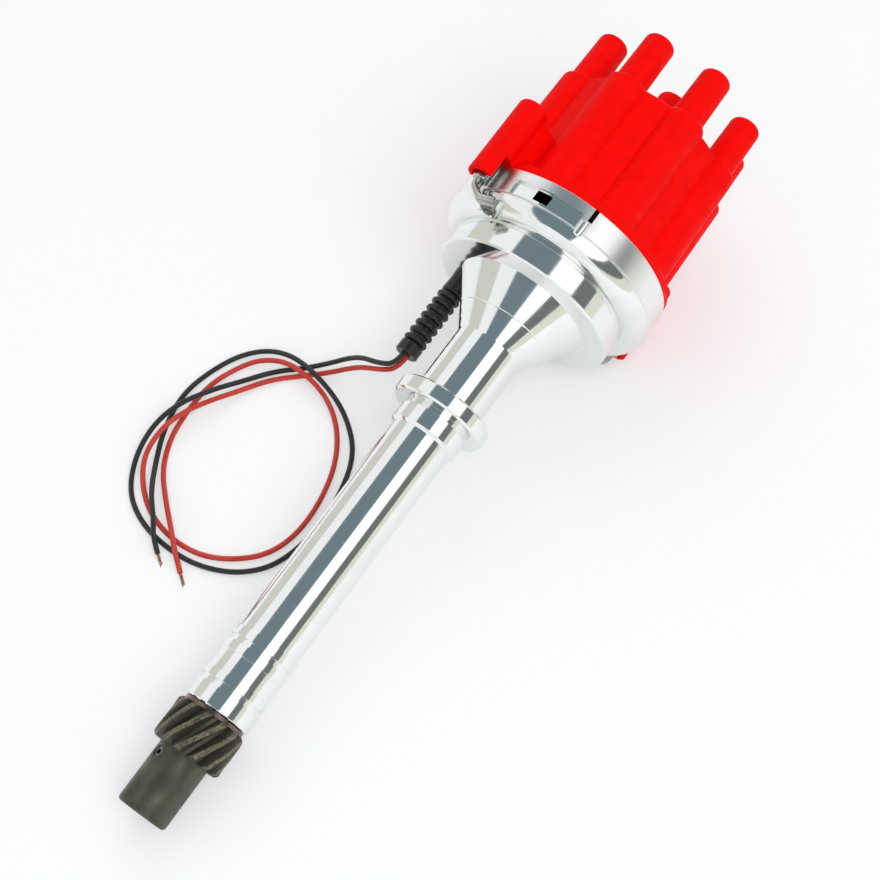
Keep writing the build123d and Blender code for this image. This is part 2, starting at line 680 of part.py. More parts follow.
def pickup_pole_piece():
    """Iron pole piece whose tapered tip faces the reluctor."""
    tip = RELUCTOR_TIP_R + CORE_GAP
    tail = PICKUP_IN_R + 0.7 * (PICKUP_OUT_R - PICKUP_IN_R)
    half = CORE_W / 2
    outline = [(tip, -half / 2), (tip + 3, -half), (tail, -half), (tail, half), (tip + 3, half), (tip, half / 2)]
    bar = extrude(Pos(0, 0, core_level()) * make_face(Polyline(*outline, close=True)), CORE_H)
    return Rot(0, 0, PICKUP_ANGLE) * bar


def reluctor():
    """Eight-point iron wheel on the advance sleeve."""
    wheel = rod(RELUCTOR_ROOT_R, RELUCTOR_BOTTOM, RELUCTOR_BOTTOM + RELUCTOR_T)
    point_l = RELUCTOR_TIP_R - RELUCTOR_ROOT_R + 3
    for step in range(RELUCTOR_POINTS):
        point = block(point_l, RELUCTOR_POINT_W, RELUCTOR_BOTTOM, RELUCTOR_BOTTOM + RELUCTOR_T)
        wheel += polar(RELUCTOR_TIP_R - point_l / 2, 360 / RELUCTOR_POINTS * step + ROTOR_ANGLE) * point
    wheel &= rod(RELUCTOR_TIP_R, RELUCTOR_BOTTOM - 1, RELUCTOR_BOTTOM + RELUCTOR_T + 1)
    return wheel - rod(SLEEVE_R, RELUCTOR_BOTTOM - 1, RELUCTOR_BOTTOM + RELUCTOR_T + 1)


# ======================================================================================
# centrifugal advance
# ======================================================================================
def advance_plate_top():
    return ADVANCE_PLATE_BOTTOM + ADVANCE_PLATE_T


def sleeve_bottom():
    return bearing_bottom() + BEARING_W + SEAT


def weight_bottom():
    return advance_plate_top() + SEAT


def cam_bottom():
    return advance_plate_top() + SEAT


def cam_top():
    return cam_bottom() + CAM_T


def clip_bottom():
    return cam_top() + ARM_T + 0.1


def advance_sleeve():
    """Sleeve that turns on the shaft, with the weight plate and the rotor standoffs."""
    sleeve = rod(SLEEVE_R, sleeve_bottom(), ADVANCE_PLATE_BOTTOM + 1)
    sleeve += rod(ADVANCE_PLATE_R, ADVANCE_PLATE_BOTTOM, advance_plate_top())
    for angle in STANDOFF_ANGLES:
        sleeve += polar(STANDOFF_RING_R, angle) * rod(STANDOFF_R, ADVANCE_PLATE_BOTTOM + 1, STANDOFF_TOP)
    for angle in STANDOFF_ANGLES:
        screw_hole = rod(ROTOR_SCREW_R, STANDOFF_TOP - ROTOR_SCREW_L, STANDOFF_TOP + 1)
        sleeve -= polar(STANDOFF_RING_R, angle) * screw_hole
    for angle in PIVOT_ANGLES:
        sleeve -= polar(PIVOT_RING_R, angle) * rod(PIVOT_R, ADVANCE_PLATE_BOTTOM - 1, advance_plate_top() + 1)
    sleeve -= stop_slot()
    return sleeve - rod(SHAFT_D / 2 + RUNNING_FIT, sleeve_bottom() - 1, STANDOFF_TOP)


def stop_slot():
    """Arc slot in the weight plate in which the stop bushing travels."""
    half = STOP_BUSH_R + SLIDE_FIT
    low = ADVANCE_PLATE_BOTTOM - 1
    high = advance_plate_top() + 1
    last = CAM_LOBE_ANGLES[0]
    first = last - ADVANCE_TRAVEL
    slot = sector(STOP_RING_R + half, STOP_RING_R - half, first, last, low, high)
    for angle in (first, last):
        slot += polar(STOP_RING_R, angle) * rod(half, low, high)
    return slot


def weight_pins():
    """Two pivot pins riveted in the weight plate, grooved at the top for the springs."""
    pins = []
    for angle in PIVOT_ANGLES:
        pin = rod(PIVOT_R, ADVANCE_PLATE_BOTTOM, PIVOT_TOP)
        pin -= ring(PIVOT_R + 1, PIVOT_R - 0.7, ADVANCE_SPRING_Z - 0.5, ADVANCE_SPRING_Z + 0.5)
        pins.append(polar(PIVOT_RING_R, angle) * pin)
    return pins


def advance_weight(angle):
    """Crescent weight that swings out about its pin."""
    low = weight_bottom()
    high = low + WEIGHT_T
    crescent = sector(WEIGHT_OUT_R, WEIGHT_IN_R, 0, WEIGHT_SWEEP, low, high)
    crescent += Pos(PIVOT_RING_R, 0, 0) * rod(WEIGHT_EYE_R, low, high)
    crescent += polar((WEIGHT_OUT_R + WEIGHT_IN_R) / 2, WEIGHT_SWEEP) * rod((WEIGHT_OUT_R - WEIGHT_IN_R) / 2, low, high)
    crescent -= Pos(PIVOT_RING_R, 0, 0) * rod(PIVOT_R + SLIDE_FIT, low - 1, high + 1)
    return Rot(0, 0, angle) * crescent


def advance_cam():
    """Two-lobed cam fixed on the shaft, with the spring arms and the stop slot above it."""
    low = cam_bottom()
    cam = rod(CAM_R, low, cam_top())
    for angle in CAM_LOBE_ANGLES:
        lobe = rod(CAM_LOBE_TIP_R, low, cam_top())
        cam += polar(CAM_LOBE_R - CAM_LOBE_TIP_R, angle) * lobe
        web_l = CAM_LOBE_R - CAM_LOBE_TIP_R
        web = Pos(web_l / 2, 0, 0) * block(web_l, 2 * CAM_LOBE_TIP_R, low, cam_top())
        cam += Rot(0, 0, angle) * web
    plate = rod(CAM_R, cam_top() - 1, cam_top() + ARM_T)
    for angle in ARM_ANGLES:
        arm = Pos(ARM_R / 2, 0, 0) * block(ARM_R, ARM_W, cam_top(), cam_top() + ARM_T)
        arm += Pos(ARM_R, 0, 0) * rod(ARM_W / 2, cam_top(), cam_top() + ARM_T)
        post = Pos(ARM_R, 0, 0) * rod(ARM_POST_R, cam_top(), ARM_POST_TOP)
        plate += Rot(0, 0, angle) * arm
        plate += Rot(0, 0, angle) * post
    cam += plate
    cam -= polar(STOP_RING_R, CAM_LOBE_ANGLES[0]) * rod(STOP_PIN_R, low - 1, low + STOP_PIN_IN_CAM)
    return cam - rod(SHAFT_D / 2, low - 1, ARM_POST_TOP + 1)


def cam_clip():
    """External clip that keeps the cam on the shaft."""
    clip = ring(CLIP_R, SHAFT_D / 2 - 0.7, clip_bottom() + EPS, clip_bottom() + CLIP_T)
    return clip - Pos(CLIP_R, 0, 0) * block(2 * CLIP_R, 5.0, clip_bottom() - 1, clip_bottom() + CLIP_T + 1)


def spring_ends(index):
    """Hook points of one advance spring: pivot pin and cam arm."""
    pin = at_angle(PIVOT_RING_R, math.radians(PIVOT_ANGLES[index]))
    arm = at_angle(ARM_R, math.radians(ARM_ANGLES[index]))
    return Vector(*pin, ADVANCE_SPRING_Z), Vector(*arm, ADVANCE_SPRING_Z)


def advance_spring(index):
    """Tension spring with a round eye at each end, coil body drawn as a ribbed tube."""
    start, end = spring_ends(index)
    reach = (end - start).length
    wire = ADVANCE_SPRING_WIRE
    pin_eye = PIVOT_R + 2 * wire
    arm_eye = ARM_POST_R + 2.5 * wire
    body_l = reach - pin_eye - arm_eye - 1.0
    eyes = Cylinder(pin_eye, wire) - Cylinder(PIVOT_R - 0.55, 2 * wire)
    arm_ring = Cylinder(arm_eye, wire) - Cylinder(ARM_POST_R + SLIDE_FIT, 2 * wire)
    turns = max(4, round(body_l / (3 * wire)))
    pitch = body_l / turns
    body = Cylinder(ADVANCE_SPRING_R - wire, body_l + 1.4)
    for step in range(turns):
        body += Pos(0, 0, (step + 0.5 - turns / 2) * pitch) * Cylinder(ADVANCE_SPRING_R, pitch * 0.6)
    body = Pos((pin_eye + reach - arm_eye) / 2, 0, 0) * Rot(0, 90, 0) * body
    spring = eyes + Pos(reach, 0, 0) * arm_ring + body
    heading = math.degrees(math.atan2(end.Y - start.Y, end.X - start.X))
    return Pos(start) * Rot(0, 0, heading) * spring


def stop_bushing():
    """Bushing and lock nut on a pin in the cam: it sets how far the spark advances."""
    nut_top = cam_bottom() - STOP_BUSH_L
    pin = rod(STOP_PIN_R, nut_top - STOP_NUT_T, cam_bottom() + STOP_PIN_IN_CAM)
    bush = rod(STOP_BUSH_R, nut_top, cam_bottom())
    nut = Pos(0, 0, nut_top - STOP_NUT_T) * extrude(RegularPolygon(STOP_NUT_R, 6), STOP_NUT_T)
    return polar(STOP_RING_R, CAM_LOBE_ANGLES[0]) * (pin + bush + nut)


# ======================================================================================
# rotor
# ======================================================================================
def rotor_plate_top():
    return STANDOFF_TOP + ROTOR_PLATE_T


def rotor():
    """Moulded rotor: round base, hollow dome and the arm that carries the blade."""
    body = rod(ROTOR_R, STANDOFF_TOP, rotor_plate_top())
    dome = cone(ROTOR_DOME_R, ROTOR_DOME_R - 3, rotor_plate_top() - 1, ROTOR_TOP)
    arm = Pos(ROTOR_ARM_R / 2, 0, 0) * block(ROTOR_ARM_R, ROTOR_ARM_W, ROTOR_TOP - ROTOR_ARM_T, ROTOR_TOP)
    rib = Pos(ROTOR_ARM_R / 2, 0, 0) * block(ROTOR_ARM_R - 3, 3.0, rotor_plate_top() - 1, ROTOR_TOP - 1)
    body += dome
    body += Rot(0, 0, ROTOR_ANGLE) * arm
    body += Rot(0, 0, ROTOR_ANGLE) * rib
    hollow = cone(ROTOR_DOME_R - ROTOR_DOME_WALL, ROTOR_DOME_R - 3 - ROTOR_DOME_WALL,
                  STANDOFF_TOP - 1, ROTOR_TOP - ROTOR_DOME_WALL)
    body -= hollow
    for angle in STANDOFF_ANGLES:
        body -= polar(STANDOFF_RING_R, angle) * rod(ROTOR_SCREW_R, STANDOFF_TOP - 1, rotor_plate_top() + 1)
    return body


def rotor_blade():
    """Brass blade from the middle of the rotor to its tip."""
    tip = TOWER_RING_R - TERMINAL_R - ROTOR_GAP
    blade = Pos(tip / 2 - 2, 0, 0) * block(tip + 4, BLADE_W, ROTOR_TOP, ROTOR_TOP + BLADE_T)
    blade = blade & rod(tip, ROTOR_TOP - 1, ROTOR_TOP + BLADE_T + 1)
    return Rot(0, 0, ROTOR_ANGLE) * blade


def rotor_screws():
    """Two screws that hold the rotor on its standoffs."""
    screws = []
    for angle in STANDOFF_ANGLES:
        top = rotor_plate_top()
        screw = rod(ROTOR_SCREW_R, top - ROTOR_SCREW_L, top) + rod(ROTOR_SCREW_HEAD_R, top, top + ROTOR_SCREW_HEAD_T)
        screw = fillet(screw.edges().group_by(Axis.Z)[-1], 0.9)
        screw -= block(2 * ROTOR_SCREW_HEAD_R + 1, 0.9, top + ROTOR_SCREW_HEAD_T - 1.0, top + ROTOR_SCREW_HEAD_T + 1)
        screws.append(polar(STANDOFF_RING_R, angle) * screw)
    return screws


def rotor_leaf():
    """Spring leaf on the blade that the carbon button presses."""
    low = ROTOR_TOP + BLADE_T
    foot = Pos(-2, 0, 0) * block(4, LEAF_W, low, low + LEAF_T)
    length = 10.0
    outline = [(-2, low), (-2, low + LEAF_T), (2, low + 1.6), (length - 4, low + 1.6), (length - 4, low + 1.6 - LEAF_T),
               (2.2, low + 1.6 - LEAF_T)]
    strip = extrude(Plane.XZ * make_face(Polyline(*outline, close=True)), LEAF_W / 2, both=True)
    return Rot(0, 0, ROTOR_ANGLE + 180) * Pos(-3, 0, 0) * (foot + strip)


def leaf_top():
    return ROTOR_TOP + BLADE_T + 1.6


# ======================================================================================
# cap
# ======================================================================================
def tower_angles():
    return [TOWER_FIRST_ANGLE + 360 / TOWERS * step for step in range(TOWERS)]


def drafted(radius, height):
    """Radius of a moulded wall after its taper over a height."""
    return radius - height * math.tan(math.radians(CAP_DRAFT))


def tower():
    """One male tower on its half-round rib, about its own middle line."""
    rib = cone(RIB_R, RIB_TOP_R, BAND_TOP + 1, CAP_SHOULDER)
    rib = fillet(rib.edges().group_by(Axis.Z)[-1], RIB_EDGE)
    post = cone(TOWER_R, TOWER_TIP_R, CAP_SHOULDER - 10, TOWER_TOP)
    post = fillet(post.edges().group_by(Axis.Z)[-1], TOWER_EDGE)
    return rib + post


def terminal_hole():
    hole = rod(TERMINAL_R, TERMINAL_BOTTOM - TERMINAL_HOLE_REACH, TOWER_TOP + 1)
    return hole + rod(TERMINAL_BUTTON_R, TOWER_TOP - TERMINAL_BUTTON_DEEP, TOWER_TOP + 1)


def ear(angle):
    """Boss on the cap for one latch, with the skirt that guards the stem."""
    boss = rod(EAR_R, BAND_TOP + SEAT, EAR_TOP)
    boss = fillet(boss.edges().group_by(Axis.Z)[-1], EAR_EDGE)
    web_l = LATCH_RING_R - CAP_BODY_R + CAP_WALL
    boss += Pos(-web_l / 2, 0, 0) * block(web_l, EAR_WEB_W, BAND_TOP + SEAT, EAR_WEB_TOP)
    skirt = ring(EAR_R, EAR_R - EAR_SKIRT_T, EAR_SKIRT_BOTTOM, BAND_TOP + 2)
    slope = EAR_R + 2
    guard = Pos(EAR_R / 2 + 1.5, 0, 0) * block(EAR_R + 1, 2 * slope, EAR_SKIRT_BOTTOM - 1, BAND_TOP + 3)
    return polar(LATCH_RING_R, angle) * (boss + (skirt & guard))


def ear_bore(angle):
    """Stepped bore for the latch stem, its spring and its head."""
    bore = rod(LATCH_STEM_R + SEAT, EAR_SKIRT_BOTTOM - 1, EAR_TOP + 1)
    bore += rod(LATCH_BORE_R, EAR_FLOOR_TOP, EAR_TOP + 1)
    return polar(LATCH_RING_R, angle) * bore


def cap():
    """Moulded cap: rim, ribbed body, eight towers round a middle one, and two latch ears."""
    rise = CAP_SHOULDER - BAND_TOP
    shell = cone(CAP_BODY_R, drafted(CAP_BODY_R, rise), BAND_TOP, CAP_SHOULDER)
    shell = fillet(shell.edges().group_by(Axis.Z)[-1], RIB_EDGE)
    rim = rod(CAP_RIM_R, BAND_TOP, BAND_TOP + CAP_RIM_T)
    shell += chamfer(rim.edges().group_by(Axis.Z)[-1], CAP_RIM_CHAMFER)
    one_tower = tower()
    for angle in tower_angles():
        shell += polar(TOWER_RING_R, angle) * one_tower
    middle = cone(TOWER_R, TOWER_TIP_R, CAP_SHOULDER - 5, TOWER_TOP)
    shell += fillet(middle.edges().group_by(Axis.Z)[-1], TOWER_EDGE)
    for angle in LATCH_ANGLES:
        shell += ear(angle)
    spigot_r = BAND_R - BAND_WALL - SLIDE_FIT
    shell += rod(spigot_r, BAND_TOP - SPIGOT_L, BAND_TOP + 1)
    shell -= rod(spigot_r - SPIGOT_WALL, BAND_TOP - SPIGOT_L - 1, SPIGOT_TOP)
    cavity_r = CAP_BODY_R - CAP_WALL
    shell -= cone(cavity_r, drafted(cavity_r, CAP_CEILING - SPIGOT_TOP), SPIGOT_TOP - 1, CAP_CEILING)
    guide = rod(CARBON_R + CARBON_GUIDE_WALL, CAP_CEILING - CARBON_L / 2, CAP_CEILING + 1)
    shell += guide
    for angle in tower_angles():
        shell -= polar(TOWER_RING_R, angle) * terminal_hole()
    shell -= rod(TERMINAL_R, CAP_CEILING - 10, TOWER_TOP + 1)
    shell -= rod(TERMINAL_BUTTON_R, TOWER_TOP - TERMINAL_BUTTON_DEEP, TOWER_TOP + 1)
    shell -= rod(CARBON_R + SLIDE_FIT, CAP_CEILING - CARBON_L, carbon_bore_top())
    for angle in LATCH_ANGLES:
        shell -= ear_bore(angle)
        round_ear = polar(LATCH_RING_R, angle) * rod(EAR_R + EAR_RELIEF, EAR_SKIRT_BOTTOM - 4, BAND_TOP)
        shell -= rod(BAND_R + SEAT, EAR_SKIRT_BOTTOM - 2, BAND_TOP) & round_ear
    key = block(BAND_WALL - SEAT, KEY_W - 2 * SEAT, BAND_TOP - KEY_DEPTH + SEAT, BAND_TOP + 1)
    key = Pos(BAND_R - BAND_WALL / 2 - SEAT, 0, 0) * key
    return shell + Rot(0, 0, KEY_ANGLE) * key


def carbon_bore_top():
    return CAP_CEILING + CARBON_L + 4.0


def terminal(bottom):
    """Terminal rod with the wider contact at the tower's end."""
    post = rod(TERMINAL_R, bottom, TOWER_TOP)
    button = rod(TERMINAL_BUTTON_R, TOWER_TOP - TERMINAL_BUTTON_DEEP, TOWER_TOP + TERMINAL_PROUD)
    return post + chamfer(button.edges().group_by(Axis.Z)[-1], 0.4)


def outer_terminals():
    one = terminal(TERMINAL_BOTTOM)
    return [polar(TOWER_RING_R, angle) * one for angle in tower_angles()]


def centre_terminal():
    return terminal(carbon_bore_top())


def carbon_button():
    """Carbon button that carries the spark to the rotor."""
    low = leaf_top() + EPS
    button = rod(CARBON_R, low, low + CARBON_L)
    return fillet(button.edges().group_by(Axis.Z)[0], 1.0)


def button_spring():
    """Small spring that pushes the carbon button down."""
    low = leaf_top() + EPS + CARBON_L
    spring = coil(CARBON_R - 0.4, 0.6, 5, carbon_bore_top() - low)
    return Pos(0, 0, low) * spring


# ======================================================================================
# latches
# ======================================================================================
def latch(angle):
    """Latch stem with a slotted head and the double hook that pulls under the bowl."""
    head_top = LATCH_HEAD_Z + LATCH_HEAD_T
    head = rod(LATCH_HEAD_R, LATCH_HEAD_Z, head_top)
    head = fillet(head.edges().group_by(Axis.Z)[-1], 0.6)
    head -= block(2 * LATCH_HEAD_R + 1, LATCH_SLOT_W, head_top - LATCH_SLOT_DEEP, head_top + 1)
    toe_z = HOOK_SEAT_Z - SEAT - HOOK_R
    corners = [(0, HOOK_TOP), (0, HOOK_ELBOW), (-HOOK_L * 0.42, HOOK_DIP), (-HOOK_L, toe_z)]
    path = Plane.XZ * FilletPolyline(*corners, radius=[3.2, 3.2])
    prong = sweep(Plane(origin=path @ 0, z_dir=path % 0) * Circle(HOOK_R), path=path)
    foot = rod(LATCH_FOOT_R, LATCH_FOOT_END, LATCH_FOOT_TOP)
    foot = fillet(foot.edges().group_by(Axis.Z)[0], 0.8)
    body = rod(LATCH_STEM_R, LATCH_FOOT_END + 1, LATCH_HEAD_Z) + foot + head
    for side in (-1, 1):
        body += Pos(0, side * HOOK_SPREAD, 0) * prong
    return polar(LATCH_RING_R, angle) * Rot(0, 0, -HOOK_TURN) * body


def latch_washer(angle):
    low = LATCH_HEAD_Z - LATCH_WASHER_T
    return polar(LATCH_RING_R, angle) * ring(LATCH_WASHER_R, LATCH_STEM_R + SLIDE_FIT, low, LATCH_HEAD_Z)


def latch_spring(angle):
    length = LATCH_HEAD_Z - LATCH_WASHER_T - EAR_FLOOR_TOP
    spring = coil(LATCH_SPRING_R, LATCH_SPRING_WIRE, LATCH_SPRING_TURNS, length)
    return polar(LATCH_RING_R, angle) * Pos(0, 0, EAR_FLOOR_TOP) * spring


# ======================================================================================
# boot and leads
# ======================================================================================
def boot_bottom():
    return DISC_BOTTOM - BOOT_L


def strain_relief():
    """Ribbed rubber boot: its neck passes the bowl floor and a flange holds it inside."""
    low = boot_bottom()
    body = cone(BOOT_END_R, BOOT_R, low + BOOT_PLUG_L, DISC_BOTTOM)
    body += rod(BOOT_END_R + 0.3, low, low + BOOT_PLUG_L)
    for step in range(BOOT_RIBS):
        level = low + BOOT_PLUG_L + 1.2 + step * BOOT_RIB_PITCH
        body -= ring(BOOT_R + 1, BOOT_R - BOOT_RIB_DEEP, level, level + BOOT_RIB_PITCH * 0.42)
    body += rod(BOOT_NECK_R, DISC_BOTTOM - 1, BOWL_FLOOR + BOOT_FLANGE_T)
    body += rod(BOOT_FLANGE_R, BOWL_FLOOR, BOWL_FLOOR + BOOT_FLANGE_T)
    return polar(BOOT_RING_R, BOOT_ANGLE) * body


def lead_path(place, side, route):
    """Middle line of a lead: straight runs joined by arcs as large as the runs allow."""
    exit_place = place * polar(BOOT_RING_R, BOOT_ANGLE) * Pos(0, side * LEAD_SPREAD, boot_bottom())
    start = Vector(*exit_place.position)
    outward = (exit_place * Pos(0, 0, -1)).position - start
    points = [start, start + outward * LEAD_STRAIGHT] + [Vector(*point) for point in route]
    radii = []
    for before, corner, after in zip(points, points[1:], points[2:]):
        turn = (corner - before).get_angle(after - corner)
        shorter = min((corner - before).length, (after - corner).length)
        radii.append(LEAD_BEND_SHARE * shorter / math.tan(math.radians(turn) / 2))
    return FilletPolyline(*points, radius=radii), points, radii


def lead(path):
    """Insulated lead swept along its middle line."""
    return sweep(Plane(origin=path @ 0, z_dir=path % 0) * Circle(LEAD_D / 2), path=path)


def stripped_end(path):
    """Bare copper strand beyond the insulation."""
    end = Plane(origin=path @ 1, z_dir=path % 1).location
    strand = Cylinder(STRAND_D / 2, STRIPPED_L, align=(Align.CENTER, Align.CENTER, Align.MIN))
    return end * chamfer(strand.edges().group_by(Axis.Z)[-1], 0.2)


# ======================================================================================
# assembly
# ======================================================================================
def upright_pieces():
    """Every rigid piece in the upright frame, by node name."""
    pieces = {
        "housing": housing(),
        "lower_bushing": lower_bushing(),
        "oil_seal": oil_seal(),
        "bearing_outer_ring": bearing_outer_ring(),
        "bearing_inner_ring": bearing_inner_ring(),
        "bearing_balls": bearing_balls(),
        "bearing_cage": bearing_cage(),
        "bearing_circlip": bearing_circlip(),
        "drive_shaft": drive_shaft(),
        "drive_gear": drive_gear(),
        "gear_roll_pin": gear_roll_pin(),
        "thrust_washers": thrust_washers(),
        "pickup_plate": pickup_plate(),
        "pickup_plate_screws": pickup_plate_screws(),
        "pickup_coil": pickup_coil(),
        "pickup_pole_piece": pickup_pole_piece(),
        "reluctor": reluctor(),
        "advance_sleeve": advance_sleeve(),
        "weight_pins": weight_pins(),
        "advance_weight_a": advance_weight(PIVOT_ANGLES[0]),
        "advance_weight_b": advance_weight(PIVOT_ANGLES[1]),
        "advance_cam": advance_cam(),
        "cam_clip": cam_clip(),
        "advance_spring_a": advance_spring(0),
        "advance_spring_b": advance_spring(1),
        "stop_bushing": stop_bushing(),
        "rotor": rotor(),
        "rotor_blade": rotor_blade(),
        "rotor_leaf": rotor_leaf(),
        "rotor_screws": rotor_screws(),
        "cap": cap(),
        "outer_terminals": outer_terminals(),
        "centre_terminal": centre_terminal(),
        "carbon_button": carbon_button(),
        "button_spring": button_spring(),
        "strain_relief": strain_relief(),
    }
    for name, angle in zip("ab", LATCH_ANGLES):
        pieces["latch_" + name] = latch(angle)
        pieces["latch_washer_" + name] = latch_washer(angle)
        pieces["latch_spring_" + name] = latch_spring(angle)
    return pieces


def rest_tilt():
    """Angle of the shaft over the surface when the gear and the cap rim both touch it."""
    span = BOWL_BOTTOM + BOWL_CORNER - gear_bottom() - TOOTH_CHAMFER
    return math.atan2(REST_SPAN, span)


def lying_location(pieces):
    """Placement that lays the assembly down, with its box centred over the origin."""
    tilt = rest_tilt()
    lean = Plane(origin=(0, 0, 0), x_dir=(-math.sin(tilt), 0, math.cos(tilt)),
                 z_dir=(math.cos(tilt), 0, math.sin(tilt))).location
    box = Compound([lean * solid for piece in pieces.values() for solid in solids_of(piece)]).bounding_box()
    centre = (box.min + box.max) / 2
    return Pos(-centre.X, -centre.Y, -box.min.Z) * lean


def solids_of(piece):
    """List of the solids in a piece or a group of pieces."""
    if isinstance(piece, (list, tuple)):
        return [solid for item in piece for solid in item.solids()]
    return list(piece.solids())


def write(name, solids):
    shape = solids[0] if len(solids) == 1 else Compound(solids)
    export_step(shape, "parts/" + name + ".step")


def main():
    os.makedirs("parts", exist_ok=True)
    pieces = upright_pieces()
    place = lying_location(pieces)
    for name, piece in pieces.items():
        write(name, [place * solid for solid in solids_of(piece)])
    strands = []
    for name, side, route in (("black_lead", 1, BLACK_ROUTE), ("red_lead", -1, RED_ROUTE)):
        path, points, radii = lead_path(place, side, route)
        tube = lead(path)
        strands.append(stripped_end(path))
        write(name, tube.solids())
        expected = math.pi * (LEAD_D / 2) ** 2 * path.length
        print(name, "length", round(path.length, 1), "volume over section times length", round(tube.volume / expected, 4))
        print("radii", [round(radius, 1) for radius in radii])
        print("first points", [tuple(round(value, 2) for value in point) for point in points[:2]])
    write("stripped_ends", solids_of(strands))
    print("tilt degrees", round(math.degrees(rest_tilt()), 3), "place", place)


main()
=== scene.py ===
"""Dresses an ignition distributor that lies on a pale table with its two loose leads.

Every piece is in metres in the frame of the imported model: +Z up, the shaft along +X and
rising to the cap, and the leads on the +Y side.
"""
import logging
import math
from dataclasses import dataclass
from enum import Enum

import bpy
from mathutils import Matrix, Vector


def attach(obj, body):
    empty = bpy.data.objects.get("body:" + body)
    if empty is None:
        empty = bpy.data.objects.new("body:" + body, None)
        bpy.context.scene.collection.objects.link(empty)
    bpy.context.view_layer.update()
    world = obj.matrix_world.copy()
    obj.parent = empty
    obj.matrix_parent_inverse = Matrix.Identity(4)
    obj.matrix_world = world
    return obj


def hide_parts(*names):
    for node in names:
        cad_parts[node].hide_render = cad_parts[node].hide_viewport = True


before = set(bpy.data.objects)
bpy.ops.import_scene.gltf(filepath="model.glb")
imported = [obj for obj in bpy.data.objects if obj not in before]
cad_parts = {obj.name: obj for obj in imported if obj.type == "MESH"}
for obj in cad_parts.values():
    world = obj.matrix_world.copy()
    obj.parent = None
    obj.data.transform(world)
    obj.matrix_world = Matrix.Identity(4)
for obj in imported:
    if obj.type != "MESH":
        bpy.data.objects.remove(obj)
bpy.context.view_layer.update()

LOG = logging.getLogger("distributor")

MM = 0.001
SHAFT_TILT = math.radians(8.140)
SHAFT_ORIGIN = (0.00282783, 0.0, 0.0387525)


def lying_matrix() -> Matrix:
    """Place of the upright drawing frame in the lying part.

    Returns:
        Matrix that turns upright metres, +Z from gear to cap, into the row frame.
    """
    sine, cosine = math.sin(SHAFT_TILT), math.cos(SHAFT_TILT)
    turn = Matrix(((-sine, 0.0, cosine), (0.0, -1.0, 0.0), (cosine, 0.0, sine)))
    return Matrix.Translation(SHAFT_ORIGIN) @ turn.to_4x4()


LYING = lying_matrix()


# ---------------------------------------------------------------------------------------
# colours and nodes
# ---------------------------------------------------------------------------------------
def linear(code: str) -> tuple[float, float, float, float]:
    """Turns an sRGB hex colour to linear RGBA.

    Args:
        code: Colour such as "#E4140B".

    Returns:
        Linear red, green, blue and an alpha of 1.
    """
    parts = [int(code[i:i + 2], 16) / 255.0 for i in (1, 3, 5)]
    light = [c / 12.92 if c <= 0.04045 else ((c + 0.055) / 1.055) ** 2.4 for c in parts]
    return (light[0], light[1], light[2], 1.0)


def add_node(tree: bpy.types.NodeTree, kind: str, settings: dict | None = None,
             inputs: dict | None = None) -> bpy.types.Node:
    """Adds one node with its settings, socket values and links.

    Args:
        tree: Node tree that takes the node.
        kind: Blender's node type name.
        settings: Attributes of the node by name.
        inputs: Value or output socket for each input, by name or number.

    Returns:
        The new node.
    """
    node = tree.nodes.new(kind)
    for name, value in (settings or {}).items():
        setattr(node, name, value)
    for key, value in (inputs or {}).items():
        if isinstance(value, bpy.types.NodeSocket):
            tree.links.new(value, node.inputs[key])
        else:
            node.inputs[key].default_value = value
    return node


class Grain(Enum):
    """How a surface was made, which sets the direction of its fine marks."""

    TURNED = "turned"
    CAST = "cast"
    MOULDED = "moulded"
    ROLLED = "rolled"


